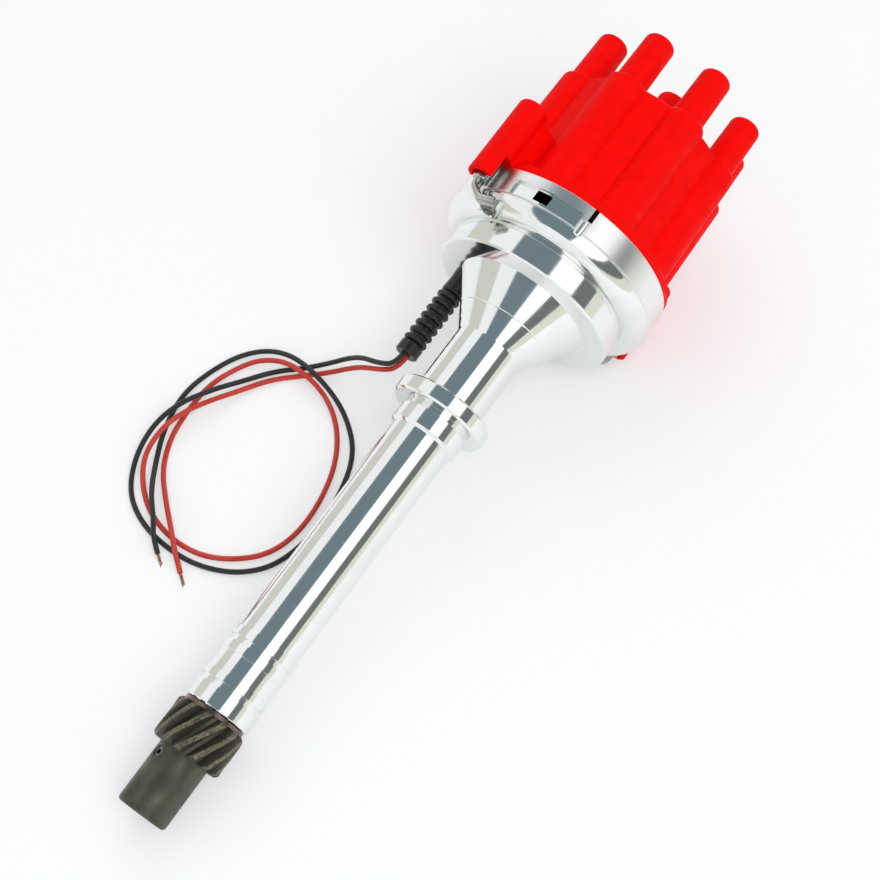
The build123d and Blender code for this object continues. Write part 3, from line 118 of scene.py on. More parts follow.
@dataclass(frozen=True)
class Finish:
    """One real material and process, as colours, gloss and fine marks.

    Sizes are in millimetres: mark is the spacing of the marks, depth is their height and
    patch is the width of the patches of wear.
    """

    name: str
    colour: str
    tone: str
    metallic: float
    roughness: tuple[float, float]
    grain: Grain
    mark: float
    depth: float
    patch: float = 9.0
    specular: float = 0.5

    def coordinates(self, tree: bpy.types.NodeTree) -> dict[str, bpy.types.NodeSocket]:
        """Gives a point's place in the upright frame, in millimetres.

        Args:
            tree: Node tree of the material.

        Returns:
            Sockets: place, radius from the shaft line, height along it, turn, and ring,
            which is the same all round the shaft.
        """
        here = add_node(tree, "ShaderNodeTexCoord").outputs["Object"]
        place = add_node(tree, "ShaderNodeMapping", {"vector_type": "TEXTURE"}, {
            "Vector": here,
            "Location": SHAFT_ORIGIN,
            "Rotation": LYING.to_3x3().to_euler("XYZ"),
            "Scale": (MM, MM, MM),
        }).outputs["Vector"]
        split = add_node(tree, "ShaderNodeSeparateXYZ", None, {0: place}).outputs
        flat = add_node(tree, "ShaderNodeVectorMath", {"operation": "MULTIPLY"},
                        {0: place, 1: (1.0, 1.0, 0.0)}).outputs[0]
        radius = add_node(tree, "ShaderNodeVectorMath", {"operation": "LENGTH"},
                          {0: flat}).outputs["Value"]
        turn = add_node(tree, "ShaderNodeMath", {"operation": "ARCTAN2"},
                        {0: split["Y"], 1: split["X"]}).outputs[0]
        slow = add_node(tree, "ShaderNodeMath", {"operation": "MULTIPLY"},
                        {0: turn, 1: 0.05}).outputs[0]
        ring = add_node(tree, "ShaderNodeCombineXYZ", None,
                        {0: radius, 1: slow, 2: split["Z"]}).outputs[0]
        return {"place": place, "radius": radius, "height": split["Z"], "turn": turn,
                "ring": ring}

    def marks(self, tree: bpy.types.NodeTree, spots: dict) -> bpy.types.NodeSocket:
        """Gives the fine marks of the process as a height from 0 to 1.

        Args:
            tree: Node tree of the material.
            spots: Sockets from coordinates().

        Returns:
            Height socket.
        """
        vector = spots["ring"] if self.grain is Grain.TURNED else spots["place"]
        if self.grain is Grain.ROLLED:
            vector = add_node(tree, "ShaderNodeMapping", None,
                              {"Vector": spots["place"], "Scale": (0.12, 1.0, 1.0)}).outputs[0]
        detail = 2.0 if self.grain is Grain.MOULDED else 6.0
        return add_node(tree, "ShaderNodeTexNoise", None, {
            "Vector": vector, "Scale": 1.0 / self.mark, "Detail": detail,
            "Roughness": 0.55}).outputs["Fac"]

    def patches(self, tree: bpy.types.NodeTree, spots: dict) -> bpy.types.NodeSocket:
        """Gives slow patches of wear and handling from 0 to 1."""
        wide = add_node(tree, "ShaderNodeTexNoise", None, {
            "Vector": spots["place"], "Scale": 1.0 / self.patch, "Detail": 5.0,
            "Roughness": 0.6}).outputs["Fac"]
        return add_node(tree, "ShaderNodeMapRange", {"clamp": True}, {
            "Value": wide, "From Min": 0.35, "From Max": 0.65}).outputs[0]

    def tint(self, tree: bpy.types.NodeTree, spots: dict,
             patch: bpy.types.NodeSocket) -> bpy.types.NodeSocket:
        """Gives the base colour, which drifts between two tones."""
        return add_node(tree, "ShaderNodeMix", {"data_type": "RGBA"}, {
            0: patch, 6: linear(self.colour), 7: linear(self.tone)}).outputs[2]

    def gloss(self, tree: bpy.types.NodeTree, spots: dict, patch: bpy.types.NodeSocket,
              marks: bpy.types.NodeSocket) -> bpy.types.NodeSocket:
        """Gives the roughness from patches and marks."""
        both = add_node(tree, "ShaderNodeMath", {"operation": "MULTIPLY_ADD"},
                        {0: marks, 1: 0.5, 2: patch}).outputs[0]
        return add_node(tree, "ShaderNodeMapRange", {"clamp": True}, {
            "Value": both, "From Min": 0.2, "From Max": 1.2,
            "To Min": self.roughness[0], "To Max": self.roughness[1]}).outputs[0]

    def relief(self, tree: bpy.types.NodeTree, spots: dict,
               marks: bpy.types.NodeSocket) -> bpy.types.NodeSocket:
        """Gives the bump from the marks."""
        return add_node(tree, "ShaderNodeBump", None, {
            "Height": marks, "Strength": 1.0, "Distance": self.depth * MM}).outputs[0]

    def build(self) -> bpy.types.Material:
        """Makes the material.

        Returns:
            The material, named for what the finish is.
        """
        made = bpy.data.materials.get(self.name)
        if made:
            return made
        made = bpy.data.materials.new(self.name)
        made.use_nodes = True
        tree = made.node_tree
        tree.nodes.clear()
        spots = self.coordinates(tree)
        marks = self.marks(tree, spots)
        patch = self.patches(tree, spots)
        shader = add_node(tree, "ShaderNodeBsdfPrincipled", None, {
            "Base Color": self.tint(tree, spots, patch),
            "Roughness": self.gloss(tree, spots, patch, marks),
            "Normal": self.relief(tree, spots, marks),
            "Metallic": self.metallic,
            "Specular IOR Level": self.specular,
        })
        add_node(tree, "ShaderNodeOutputMaterial", None, {"Surface": shader.outputs[0]})
        made.diffuse_color = linear(self.colour)
        return made


@dataclass(frozen=True)
class BuffedHousing(Finish):
    """Turned aluminium, buffed to a mirror, with a satin band that was left as turned."""

    band_radius: float = 49.4
    band_low: float = 81.7
    band_roughness: float = 0.2

    def satin(self, tree: bpy.types.NodeTree, spots: dict) -> bpy.types.NodeSocket:
        """Gives 1 on the satin band and 0 elsewhere."""
        out = add_node(tree, "ShaderNodeMath", {"operation": "GREATER_THAN"},
                       {0: spots["radius"], 1: self.band_radius}).outputs[0]
        above = add_node(tree, "ShaderNodeMath", {"operation": "GREATER_THAN"},
                         {0: spots["height"], 1: self.band_low}).outputs[0]
        return add_node(tree, "ShaderNodeMath", {"operation": "MULTIPLY"},
                        {0: out, 1: above}).outputs[0]

    def gloss(self, tree: bpy.types.NodeTree, spots: dict, patch: bpy.types.NodeSocket,
              marks: bpy.types.NodeSocket) -> bpy.types.NodeSocket:
        """Gives the mirror's roughness and adds to it on the satin band."""
        mirror = super().gloss(tree, spots, patch, marks)
        return add_node(tree, "ShaderNodeMath", {"operation": "MULTIPLY_ADD"}, {
            0: self.satin(tree, spots), 1: self.band_roughness, 2: mirror}).outputs[0]


@dataclass(frozen=True)
class WornGear(Finish):
    """Phosphated steel gear: dark flanks, and tan lands where the coating has rubbed off."""

    land_radius: float = 14.9
    land_colour: str = "#7C7660"
    rub_scale: float = 0.9

    def tint(self, tree: bpy.types.NodeTree, spots: dict,
             patch: bpy.types.NodeSocket) -> bpy.types.NodeSocket:
        """Gives the dark coating, with the bare tone on the tooth lands."""
        base = super().tint(tree, spots, patch)
        land = add_node(tree, "ShaderNodeMapRange", {"clamp": True}, {
            "Value": spots["radius"], "From Min": self.land_radius - 0.5,
            "From Max": self.land_radius + 0.35}).outputs[0]
        rubbed = add_node(tree, "ShaderNodeTexNoise", None, {
            "Vector": spots["place"], "Scale": self.rub_scale, "Detail": 6.0}).outputs["Fac"]
        worn = add_node(tree, "ShaderNodeMapRange", {"clamp": True}, {
            "Value": rubbed, "From Min": 0.38, "From Max": 0.6}).outputs[0]
        share = add_node(tree, "ShaderNodeMath", {"operation": "MULTIPLY"},
                         {0: land, 1: worn}).outputs[0]
        return add_node(tree, "ShaderNodeMix", {"data_type": "RGBA"}, {
            0: share, 6: base, 7: linear(self.land_colour)}).outputs[2]


@dataclass(frozen=True)
class MouldedCap(Finish):
    """Red moulding with painted shade: the spigot and key, seen through the bowl's cut-outs, are
    painted dark where shade falls inside the cap.
    """

    spigot_radius: float = 50.6
    spigot_top: float = 95.1
    # This dark colour is painted shade for the inside of the cap, not the moulding's own colour.
    spigot_shade_colour: str = "#160504"

    def tint(self, tree: bpy.types.NodeTree, spots: dict,
             patch: bpy.types.NodeSocket) -> bpy.types.NodeSocket:
        """Gives the red, with painted shade below the rim inside the band, where the spigot and
        key lie in shadow.
        """
        red = super().tint(tree, spots, patch)
        # Mask of the painted shade: inside the band and below the rim.
        inside = add_node(tree, "ShaderNodeMath", {"operation": "LESS_THAN"},
                          {0: spots["radius"], 1: self.spigot_radius}).outputs[0]
        below = add_node(tree, "ShaderNodeMath", {"operation": "LESS_THAN"},
                         {0: spots["height"], 1: self.spigot_top}).outputs[0]
        share = add_node(tree, "ShaderNodeMath", {"operation": "MULTIPLY"},
                         {0: inside, 1: below}).outputs[0]
        return add_node(tree, "ShaderNodeMix", {"data_type": "RGBA"}, {
            0: share, 6: red, 7: linear(self.spigot_shade_colour)}).outputs[2]


# ---------------------------------------------------------------------------------------
# the finishes
# ---------------------------------------------------------------------------------------
# 6061 aluminium, turned and buffed: a bright mirror with faint rings left by the tool.
HOUSING = BuffedHousing("aluminium_6061_turned_and_buffed", "#F5F6F4", "#F0F1EF", 1.0,
                        (0.07, 0.115), Grain.TURNED, 0.35, 0.0012)
# Alloy steel gear under manganese phosphate and oil: dark olive with rubbed lands.
GEAR = WornGear("alloy_steel_phosphated_and_oiled", "#5C5B4E", "#47463C", 0.55,
                (0.34, 0.5), Grain.CAST, 0.5, 0.01)
# Ground shaft steel: fine rings from the wheel.
GROUND = Finish("carbon_steel_centreless_ground", "#B7B8B7", "#A3A4A3", 1.0,
                (0.16, 0.3), Grain.TURNED, 0.25, 0.002)
# Bearing rings and balls: hard steel, lapped to a mirror.
BEARING = Finish("bearing_steel_lapped", "#C9CBCC", "#BABCBE", 1.0,
                 (0.06, 0.14), Grain.TURNED, 0.2, 0.0008)
# Pressed cage strip with its rolled lines.
CAGE = Finish("mild_steel_strip_pressed", "#A9A79F", "#94928A", 1.0,
              (0.26, 0.42), Grain.ROLLED, 0.4, 0.004)
# Spring wire and clips: drawn, oil-tempered, grey.
SPRING = Finish("spring_steel_oil_tempered", "#8E8F8C", "#6F706E", 1.0,
                (0.24, 0.4), Grain.ROLLED, 0.3, 0.003)
# Zinc plate over drawn steel: pale, slightly yellow, softly bright.
ZINC = Finish("mild_steel_zinc_plated", "#C9C9C2", "#A8A9A4", 1.0,
              (0.16, 0.3), Grain.CAST, 0.6, 0.004)
# Oil-soaked sintered bronze: fine pores and a brown tone.
BRONZE = Finish("bronze_sintered_oil_filled", "#A87B45", "#8A6236", 1.0,
                (0.38, 0.55), Grain.CAST, 0.25, 0.01)
# Bronze-coated thrust washers.
WASHER = Finish("steel_washer_bronze_coated", "#8E776B", "#65564E", 1.0,
                (0.22, 0.38), Grain.TURNED, 0.3, 0.003)
# Pressed and sintered iron weights and cam: grey with pores.
SINTERED = Finish("iron_sintered_steam_treated", "#6A6862", "#565550", 0.85,
                  (0.4, 0.58), Grain.CAST, 0.3, 0.012)
# Stamped silicon steel of the pickup core and reluctor.
CORE = Finish("silicon_steel_stamped", "#8A8880", "#77756E", 1.0,
              (0.3, 0.46), Grain.ROLLED, 0.35, 0.004)
# Brass terminals and blade, turned or stamped, lightly tarnished.
BRASS = Finish("brass_turned_lightly_tarnished", "#C9A45A", "#A98545", 1.0,
               (0.2, 0.36), Grain.CAST, 0.4, 0.004)
# Nitrile seal lip, moulded, dull.
SEAL = Finish("nitrile_rubber_moulded", "#2A2A2A", "#1F1F1F", 0.0,
              (0.6, 0.78), Grain.MOULDED, 0.6, 0.01)
# Glass-filled polyester rotor: dark and slightly grainy.
ROTOR = Finish("glass_filled_polyester_moulded", "#1E1E1F", "#262626", 0.0,
               (0.36, 0.52), Grain.MOULDED, 0.5, 0.01)
# Potting resin of the pickup.
RESIN = Finish("epoxy_resin_cast", "#262422", "#1B1A19", 0.0,
               (0.24, 0.42), Grain.MOULDED, 1.2, 0.02)
# Pressed carbon of the centre contact.
CARBON = Finish("carbon_pressed", "#232323", "#303030", 0.1,
                (0.5, 0.68), Grain.CAST, 0.3, 0.01)
# Cap: alkyd polyester, compression moulded in red, with a faint orange-peel skin; its spigot and
# key below the rim are painted dark as shade.
CAP = MouldedCap("alkyd_polyester_moulded_red", "#F60400", "#EB0400", 0.0,
                 (0.44, 0.58), Grain.MOULDED, 0.9, 0.02, 7.0, 0.05)
# Boot: neoprene, moulded, wiped with silicone so that it shines.
BOOT = Finish("neoprene_rubber_moulded", "#161717", "#202121", 0.0,
              (0.22, 0.4), Grain.MOULDED, 0.7, 0.015)
# Lead insulation: extruded PVC, black and red.
BLACK_PVC = Finish("pvc_extruded_black", "#1E1F1F", "#2A2B2A", 0.0,
                   (0.3, 0.45), Grain.MOULDED, 0.5, 0.006)
RED_PVC = Finish("pvc_extruded_red", "#B8281D", "#C63A2B", 0.0,
                 (0.32, 0.46), Grain.MOULDED, 0.5, 0.006)
# Bare conductor: fine copper wires with a tin wash.
STRAND = Finish("copper_wire_tinned", "#C99A77", "#B98560", 1.0,
                (0.22, 0.36), Grain.ROLLED, 0.15, 0.003)


# ---------------------------------------------------------------------------------------
# shared modelling steps
# ---------------------------------------------------------------------------------------
def deselect_all() -> None:
    """Clears the selection, so an operator acts on its own piece only."""
    if bpy.context.object and bpy.context.object.mode != "OBJECT":
        bpy.ops.object.mode_set(mode="OBJECT")
    bpy.ops.object.select_all(action="DESELECT")


def coat(piece: bpy.types.Object, finish: Finish) -> None:
    """Gives every material slot of a piece one finish.

    Args:
        piece: Mesh or curve object.
        finish: Finish to build and assign.
    """
    material = finish.build()
    if not piece.material_slots:
        piece.data.materials.append(material)
    for place in piece.material_slots:
        place.material = material


def dress(nodes: tuple[str, ...], finish: Finish) -> None:
    """Gives CAD nodes a finish in place of their plain one.

    Args:
        nodes: Names of the CAD nodes.
        finish: Finish for all of them.
    """
    for name in nodes:
        coat(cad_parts[name], finish)
        LOG.info("%s: %s", name, finish.name)


def turned_profile(name: str, outline: list[tuple[float, float]], steps: int,
                   edge: float = 0.0, sweep: float = 360.0) -> bpy.types.Object:
    """Draws a closed half section and spins it about the shaft line.

    Args:
        name: Name of the piece.
        outline: (radius, height) corners in millimetres.
        steps: Steps of the spin.
        edge: Width in millimetres of the round on every corner.
        sweep: Degrees of the spin, from local +X.

    Returns:
        The mesh object in the upright frame, in metres.
    """
    deselect_all()
    bpy.ops.mesh.primitive_plane_add(size=MM, location=(0.0, 0.0, 0.0))
    piece = bpy.context.object
    piece.name = name
    bpy.ops.object.mode_set(mode="EDIT")
    bpy.ops.mesh.select_mode(type="VERT")
    bpy.ops.mesh.select_all(action="SELECT")
    bpy.ops.mesh.merge(type="CENTER")
    bpy.ops.transform.translate(value=(outline[0][0] * MM, 0.0, outline[0][1] * MM))
    for before, after in zip(outline, outline[1:]):
        step = ((after[0] - before[0]) * MM, 0.0, (after[1] - before[1]) * MM)
        bpy.ops.mesh.extrude_region_move(TRANSFORM_OT_translate={"value": step})
    bpy.ops.mesh.select_all(action="SELECT")
    bpy.ops.mesh.remove_doubles(threshold=1e-6)
    if edge:
        bpy.ops.mesh.bevel(offset=edge * MM, segments=2, affect="VERTICES", clamp_overlap=True)
        bpy.ops.mesh.select_all(action="SELECT")
    bpy.ops.mesh.spin(steps=steps, angle=-math.radians(sweep), center=(0, 0, 0),
                      axis=(0, 0, 1))
    bpy.ops.mesh.select_all(action="SELECT")
    bpy.ops.mesh.remove_doubles(threshold=1e-6)
    if sweep < 360.0:
        bpy.ops.mesh.select_all(action="DESELECT")
        bpy.ops.mesh.select_non_manifold()
        bpy.ops.mesh.edge_face_add()
        bpy.ops.mesh.select_all(action="SELECT")
    bpy.ops.mesh.normals_make_consistent(inside=False)
    bpy.ops.object.mode_set(mode="OBJECT")
    return piece


def place_upright(piece: bpy.types.Object, radius: float = 0.0, turn: float = 0.0) -> None:
    """Moves a cutter out along the radius, then turns it about the shaft line.

    Args:
        piece: Object whose own middle line is the shaft line.
        radius: Millimetres outwards.
        turn: Degrees about the shaft line.
    """
    deselect_all()
    piece.select_set(True)
    bpy.context.view_layer.objects.active = piece
    angle = math.radians(turn)
    piece.location = (radius * math.cos(angle) * MM, radius * math.sin(angle) * MM, 0.0)
    piece.rotation_euler = (0.0, 0.0, angle)
    bpy.ops.object.transform_apply(location=True, rotation=True, scale=True)


def post(name: str, radius: float, low: float, high: float,
         sides: int = 96) -> bpy.types.Object:
    """Adds an upright cylinder about the shaft line, with sizes in millimetres."""
    deselect_all()
    bpy.ops.mesh.primitive_cylinder_add(
        vertices=sides, radius=radius * MM, depth=(high - low) * MM,
        location=(0.0, 0.0, (low + high) / 2 * MM))
    made = bpy.context.object
    made.name = name
    bpy.ops.object.transform_apply(location=True, rotation=True, scale=True)
    return made


def combine(piece: bpy.types.Object, tool: bpy.types.Object, operation: str) -> None:
    """Applies a boolean modifier and takes the tool away.

    Args:
        piece: Object that is changed.
        tool: Object that cuts or joins it.
        operation: DIFFERENCE, UNION or INTERSECT.
    """
    change = piece.modifiers.new("combine", "BOOLEAN")
    change.operation = operation
    change.solver = "EXACT"
    change.object = tool
    deselect_all()
    bpy.context.view_layer.objects.active = piece
    piece.select_set(True)
    bpy.ops.object.modifier_apply(modifier="combine")
    bpy.data.objects.remove(tool, do_unlink=True)


def lay_down(piece: bpy.types.Object, smooth_angle: float = 30.0) -> None:
    """Lays an upright piece where the part lies and shades it smooth up to an angle."""
    deselect_all()
    piece.select_set(True)
    bpy.context.view_layer.objects.active = piece
    bpy.ops.object.mode_set(mode="EDIT")
    bpy.ops.mesh.select_all(action="SELECT")
    bpy.ops.mesh.remove_doubles(threshold=1e-6)
    bpy.ops.mesh.normals_make_consistent(inside=False)
    bpy.ops.object.mode_set(mode="OBJECT")
    piece.matrix_world = LYING
    bpy.ops.object.transform_apply(location=True, rotation=True, scale=True)
    bpy.ops.object.shade_smooth_by_angle(angle=math.radians(smooth_angle))
    true_faces = piece.modifiers.new("true_faces", "WEIGHTED_NORMAL")
    true_faces.keep_sharp = True
    bpy.ops.object.modifier_apply(modifier="true_faces")


# ---------------------------------------------------------------------------------------
# the sub-assemblies
# ---------------------------------------------------------------------------------------
@dataclass
class Studio:
    """Pale table, soft lights, dark and white cards for the metal, and the camera."""

    eye: tuple[float, float, float] = (-0.26607, -0.19390, 0.61127)
    right: tuple[float, float, float] = (0.58062, -0.81417, 0.0)
    up: tuple[float, float, float] = (0.70959, 0.50604, 0.49032)
    back: tuple[float, float, float] = (-0.39920, -0.28469, 0.87154)
    lens: float = 65.77
    floor_half: float = 4.0
    floor_glow: float = 0.4
    fill_strength: float = 0.65
    card_radius: float = 1.15
    card_half: float = 1.6
    card_steps: int = 8
    cards: tuple = (
        ("card_pale_far_side", 74.0, 112.0, "#D2D3CB", 1.0),
        ("card_dark_over_camera", -2.0, 44.0, "#70828A", 1.0),
        ("card_softbox", -33.0, -3.0, "#FFFFFF", 1.25),
        ("card_dark_side", -56.0, -34.0, "#707574", 1.0),
        ("card_warm_wall", -84.0, -57.0, "#E3E5D6", 1.0))
    lamps: tuple = (
        ("lamp_key", (-0.5, -0.9, 1.5), 1.2, 15.0),
        ("lamp_fill", (0.9, 0.9, 1.4), 1.6, 6.4))

    def camera(self) -> None:
        """Makes the camera and sets it as the scene's own."""
        data = bpy.data.cameras.new("studio_camera")
        data.lens = self.lens
        data.sensor_width = 36.0
        data.clip_end = 20.0
        made = bpy.data.objects.new("studio_camera", data)
        bpy.context.collection.objects.link(made)
        axes = Matrix((self.right, self.up, self.back)).transposed()
        made.matrix_world = Matrix.Translation(self.eye) @ axes.to_4x4()
        bpy.context.scene.camera = made
        bpy.context.scene.view_settings.view_transform = "Standard"

    def world(self) -> None:
        """Makes the pale surroundings, even for the lens, for gloss and for soft light."""
        made = bpy.data.worlds.new("studio_surroundings")
        bpy.context.scene.world = made
        made.use_nodes = True
        tree = made.node_tree
        tree.nodes.clear()
        path = add_node(tree, "ShaderNodeLightPath").outputs
        seen = add_node(tree, "ShaderNodeMath", {"operation": "MAXIMUM"},
                        {0: path["Is Camera Ray"], 1: path["Is Glossy Ray"]}).outputs[0]
        seen = add_node(tree, "ShaderNodeMath", {"operation": "MAXIMUM"},
                        {0: seen, 1: path["Is Transmission Ray"]}).outputs[0]
        fill = add_node(tree, "ShaderNodeBackground", None,
                        {"Color": linear("#F8F9F9"), "Strength": self.fill_strength})
        shown = add_node(tree, "ShaderNodeBackground", None,
                         {"Color": linear("#F7F9FB"), "Strength": 1.0})
        both = add_node(tree, "ShaderNodeMixShader", None,
                        {0: seen, 1: fill.outputs[0], 2: shown.outputs[0]})
        add_node(tree, "ShaderNodeOutputWorld", None, {"Surface": both.outputs[0]})

    def floor(self) -> None:
        """Makes the pale table."""
        deselect_all()
        bpy.ops.mesh.primitive_plane_add(size=2 * self.floor_half, location=(0, 0, 0))
        table = bpy.context.object
        table.name = "studio_table"
        made = bpy.data.materials.new("studio_table_paper")
        made.use_nodes = True
        tree = made.node_tree
        tree.nodes.clear()
        here = add_node(tree, "ShaderNodeTexCoord").outputs["Object"]
        drift = add_node(tree, "ShaderNodeTexNoise", None,
                         {"Vector": here, "Scale": 2.0, "Detail": 2.0}).outputs["Fac"]
        colour = add_node(tree, "ShaderNodeMix", {"data_type": "RGBA"}, {
            0: drift, 6: linear("#F8FAFC"), 7: linear("#F4F6F9")}).outputs[2]
        shader = add_node(tree, "ShaderNodeBsdfPrincipled", None,
                          {"Base Color": colour, "Roughness": 0.8,
                           "Specular IOR Level": 0.2})
        glow = add_node(tree, "ShaderNodeEmission", None, {"Color": linear("#FBFCFC")})
        seen = add_node(tree, "ShaderNodeLightPath").outputs["Is Camera Ray"]
        share = add_node(tree, "ShaderNodeMath", {"operation": "MULTIPLY"},
                         {0: seen, 1: self.floor_glow}).outputs[0]
        both = add_node(tree, "ShaderNodeMixShader", None,
                        {0: share, 1: shader.outputs[0], 2: glow.outputs[0]})
        add_node(tree, "ShaderNodeOutputMaterial", None, {"Surface": both.outputs[0]})
        table.data.materials.append(made)

    def card(self, name: str, low: float, high: float, colour: str, strength: float) -> None:
        """Hangs one curved card along the shaft, seen in the metal only.

        Args:
            name: Name of the card.
            low: First edge, in degrees from the camera's side towards the leads.
            high: Second edge, in the same degrees.
            colour: What the metal sees.
            strength: How bright the card is.
        """
        deselect_all()
        across = Vector((0.0, 1.0, 0.0))
        toward = Vector((0.0, self.back[1], self.back[2])).normalized()
        side = (across - toward * across.dot(toward)).normalized()
        rows = []
        for step in range(self.card_steps + 1):
            angle = math.radians(low + (high - low) * step / self.card_steps)
            rows.append((toward * math.cos(angle) + side * math.sin(angle)) * self.card_radius)
        points = [row + Vector((x, 0, 0)) for row in rows
                  for x in (-self.card_half, self.card_half)]
        faces = [(2 * i, 2 * i + 1, 2 * i + 3, 2 * i + 2)
                 for i in range(self.card_steps)]
        mesh = bpy.data.meshes.new(name)
        mesh.from_pydata(points, [], faces)
        card = bpy.data.objects.new(name, mesh)
        bpy.context.collection.objects.link(card)
        made = bpy.data.materials.new(name + "_surface")
        made.use_nodes = True
        tree = made.node_tree
        tree.nodes.clear()
        glow = add_node(tree, "ShaderNodeEmission", None,
                        {"Color": linear(colour), "Strength": strength})
        add_node(tree, "ShaderNodeOutputMaterial", None, {"Surface": glow.outputs[0]})
        mesh.materials.append(made)
        card.visible_camera = False
        card.visible_diffuse = False
        card.visible_shadow = False
        card.visible_transmission = False

    def lamp(self, name: str, place: tuple[float, float, float], size: float,
             power: float) -> None:
        """Hangs one square soft lamp that points at the part.

        Args:
            name: Name of the lamp.
            place: Its middle, in metres.
            size: Side of the square, in metres.
            power: Its power, in watts.
        """
        data = bpy.data.lights.new(name, "AREA")
        data.size = size
        data.energy = power
        made = bpy.data.objects.new(name, data)
        bpy.context.collection.objects.link(made)
        made.location = place
        made.rotation_euler = Vector(place).to_track_quat("Z", "Y").to_euler()
        made.visible_glossy = False

    def build(self) -> None:
        """Sets up the whole studio."""
        self.world()
        self.floor()
        for name, low, high, colour, strength in self.cards:
            self.card(name, low, high, colour, strength)
        for name, place, size, power in self.lamps:
            self.lamp(name, place, size, power)


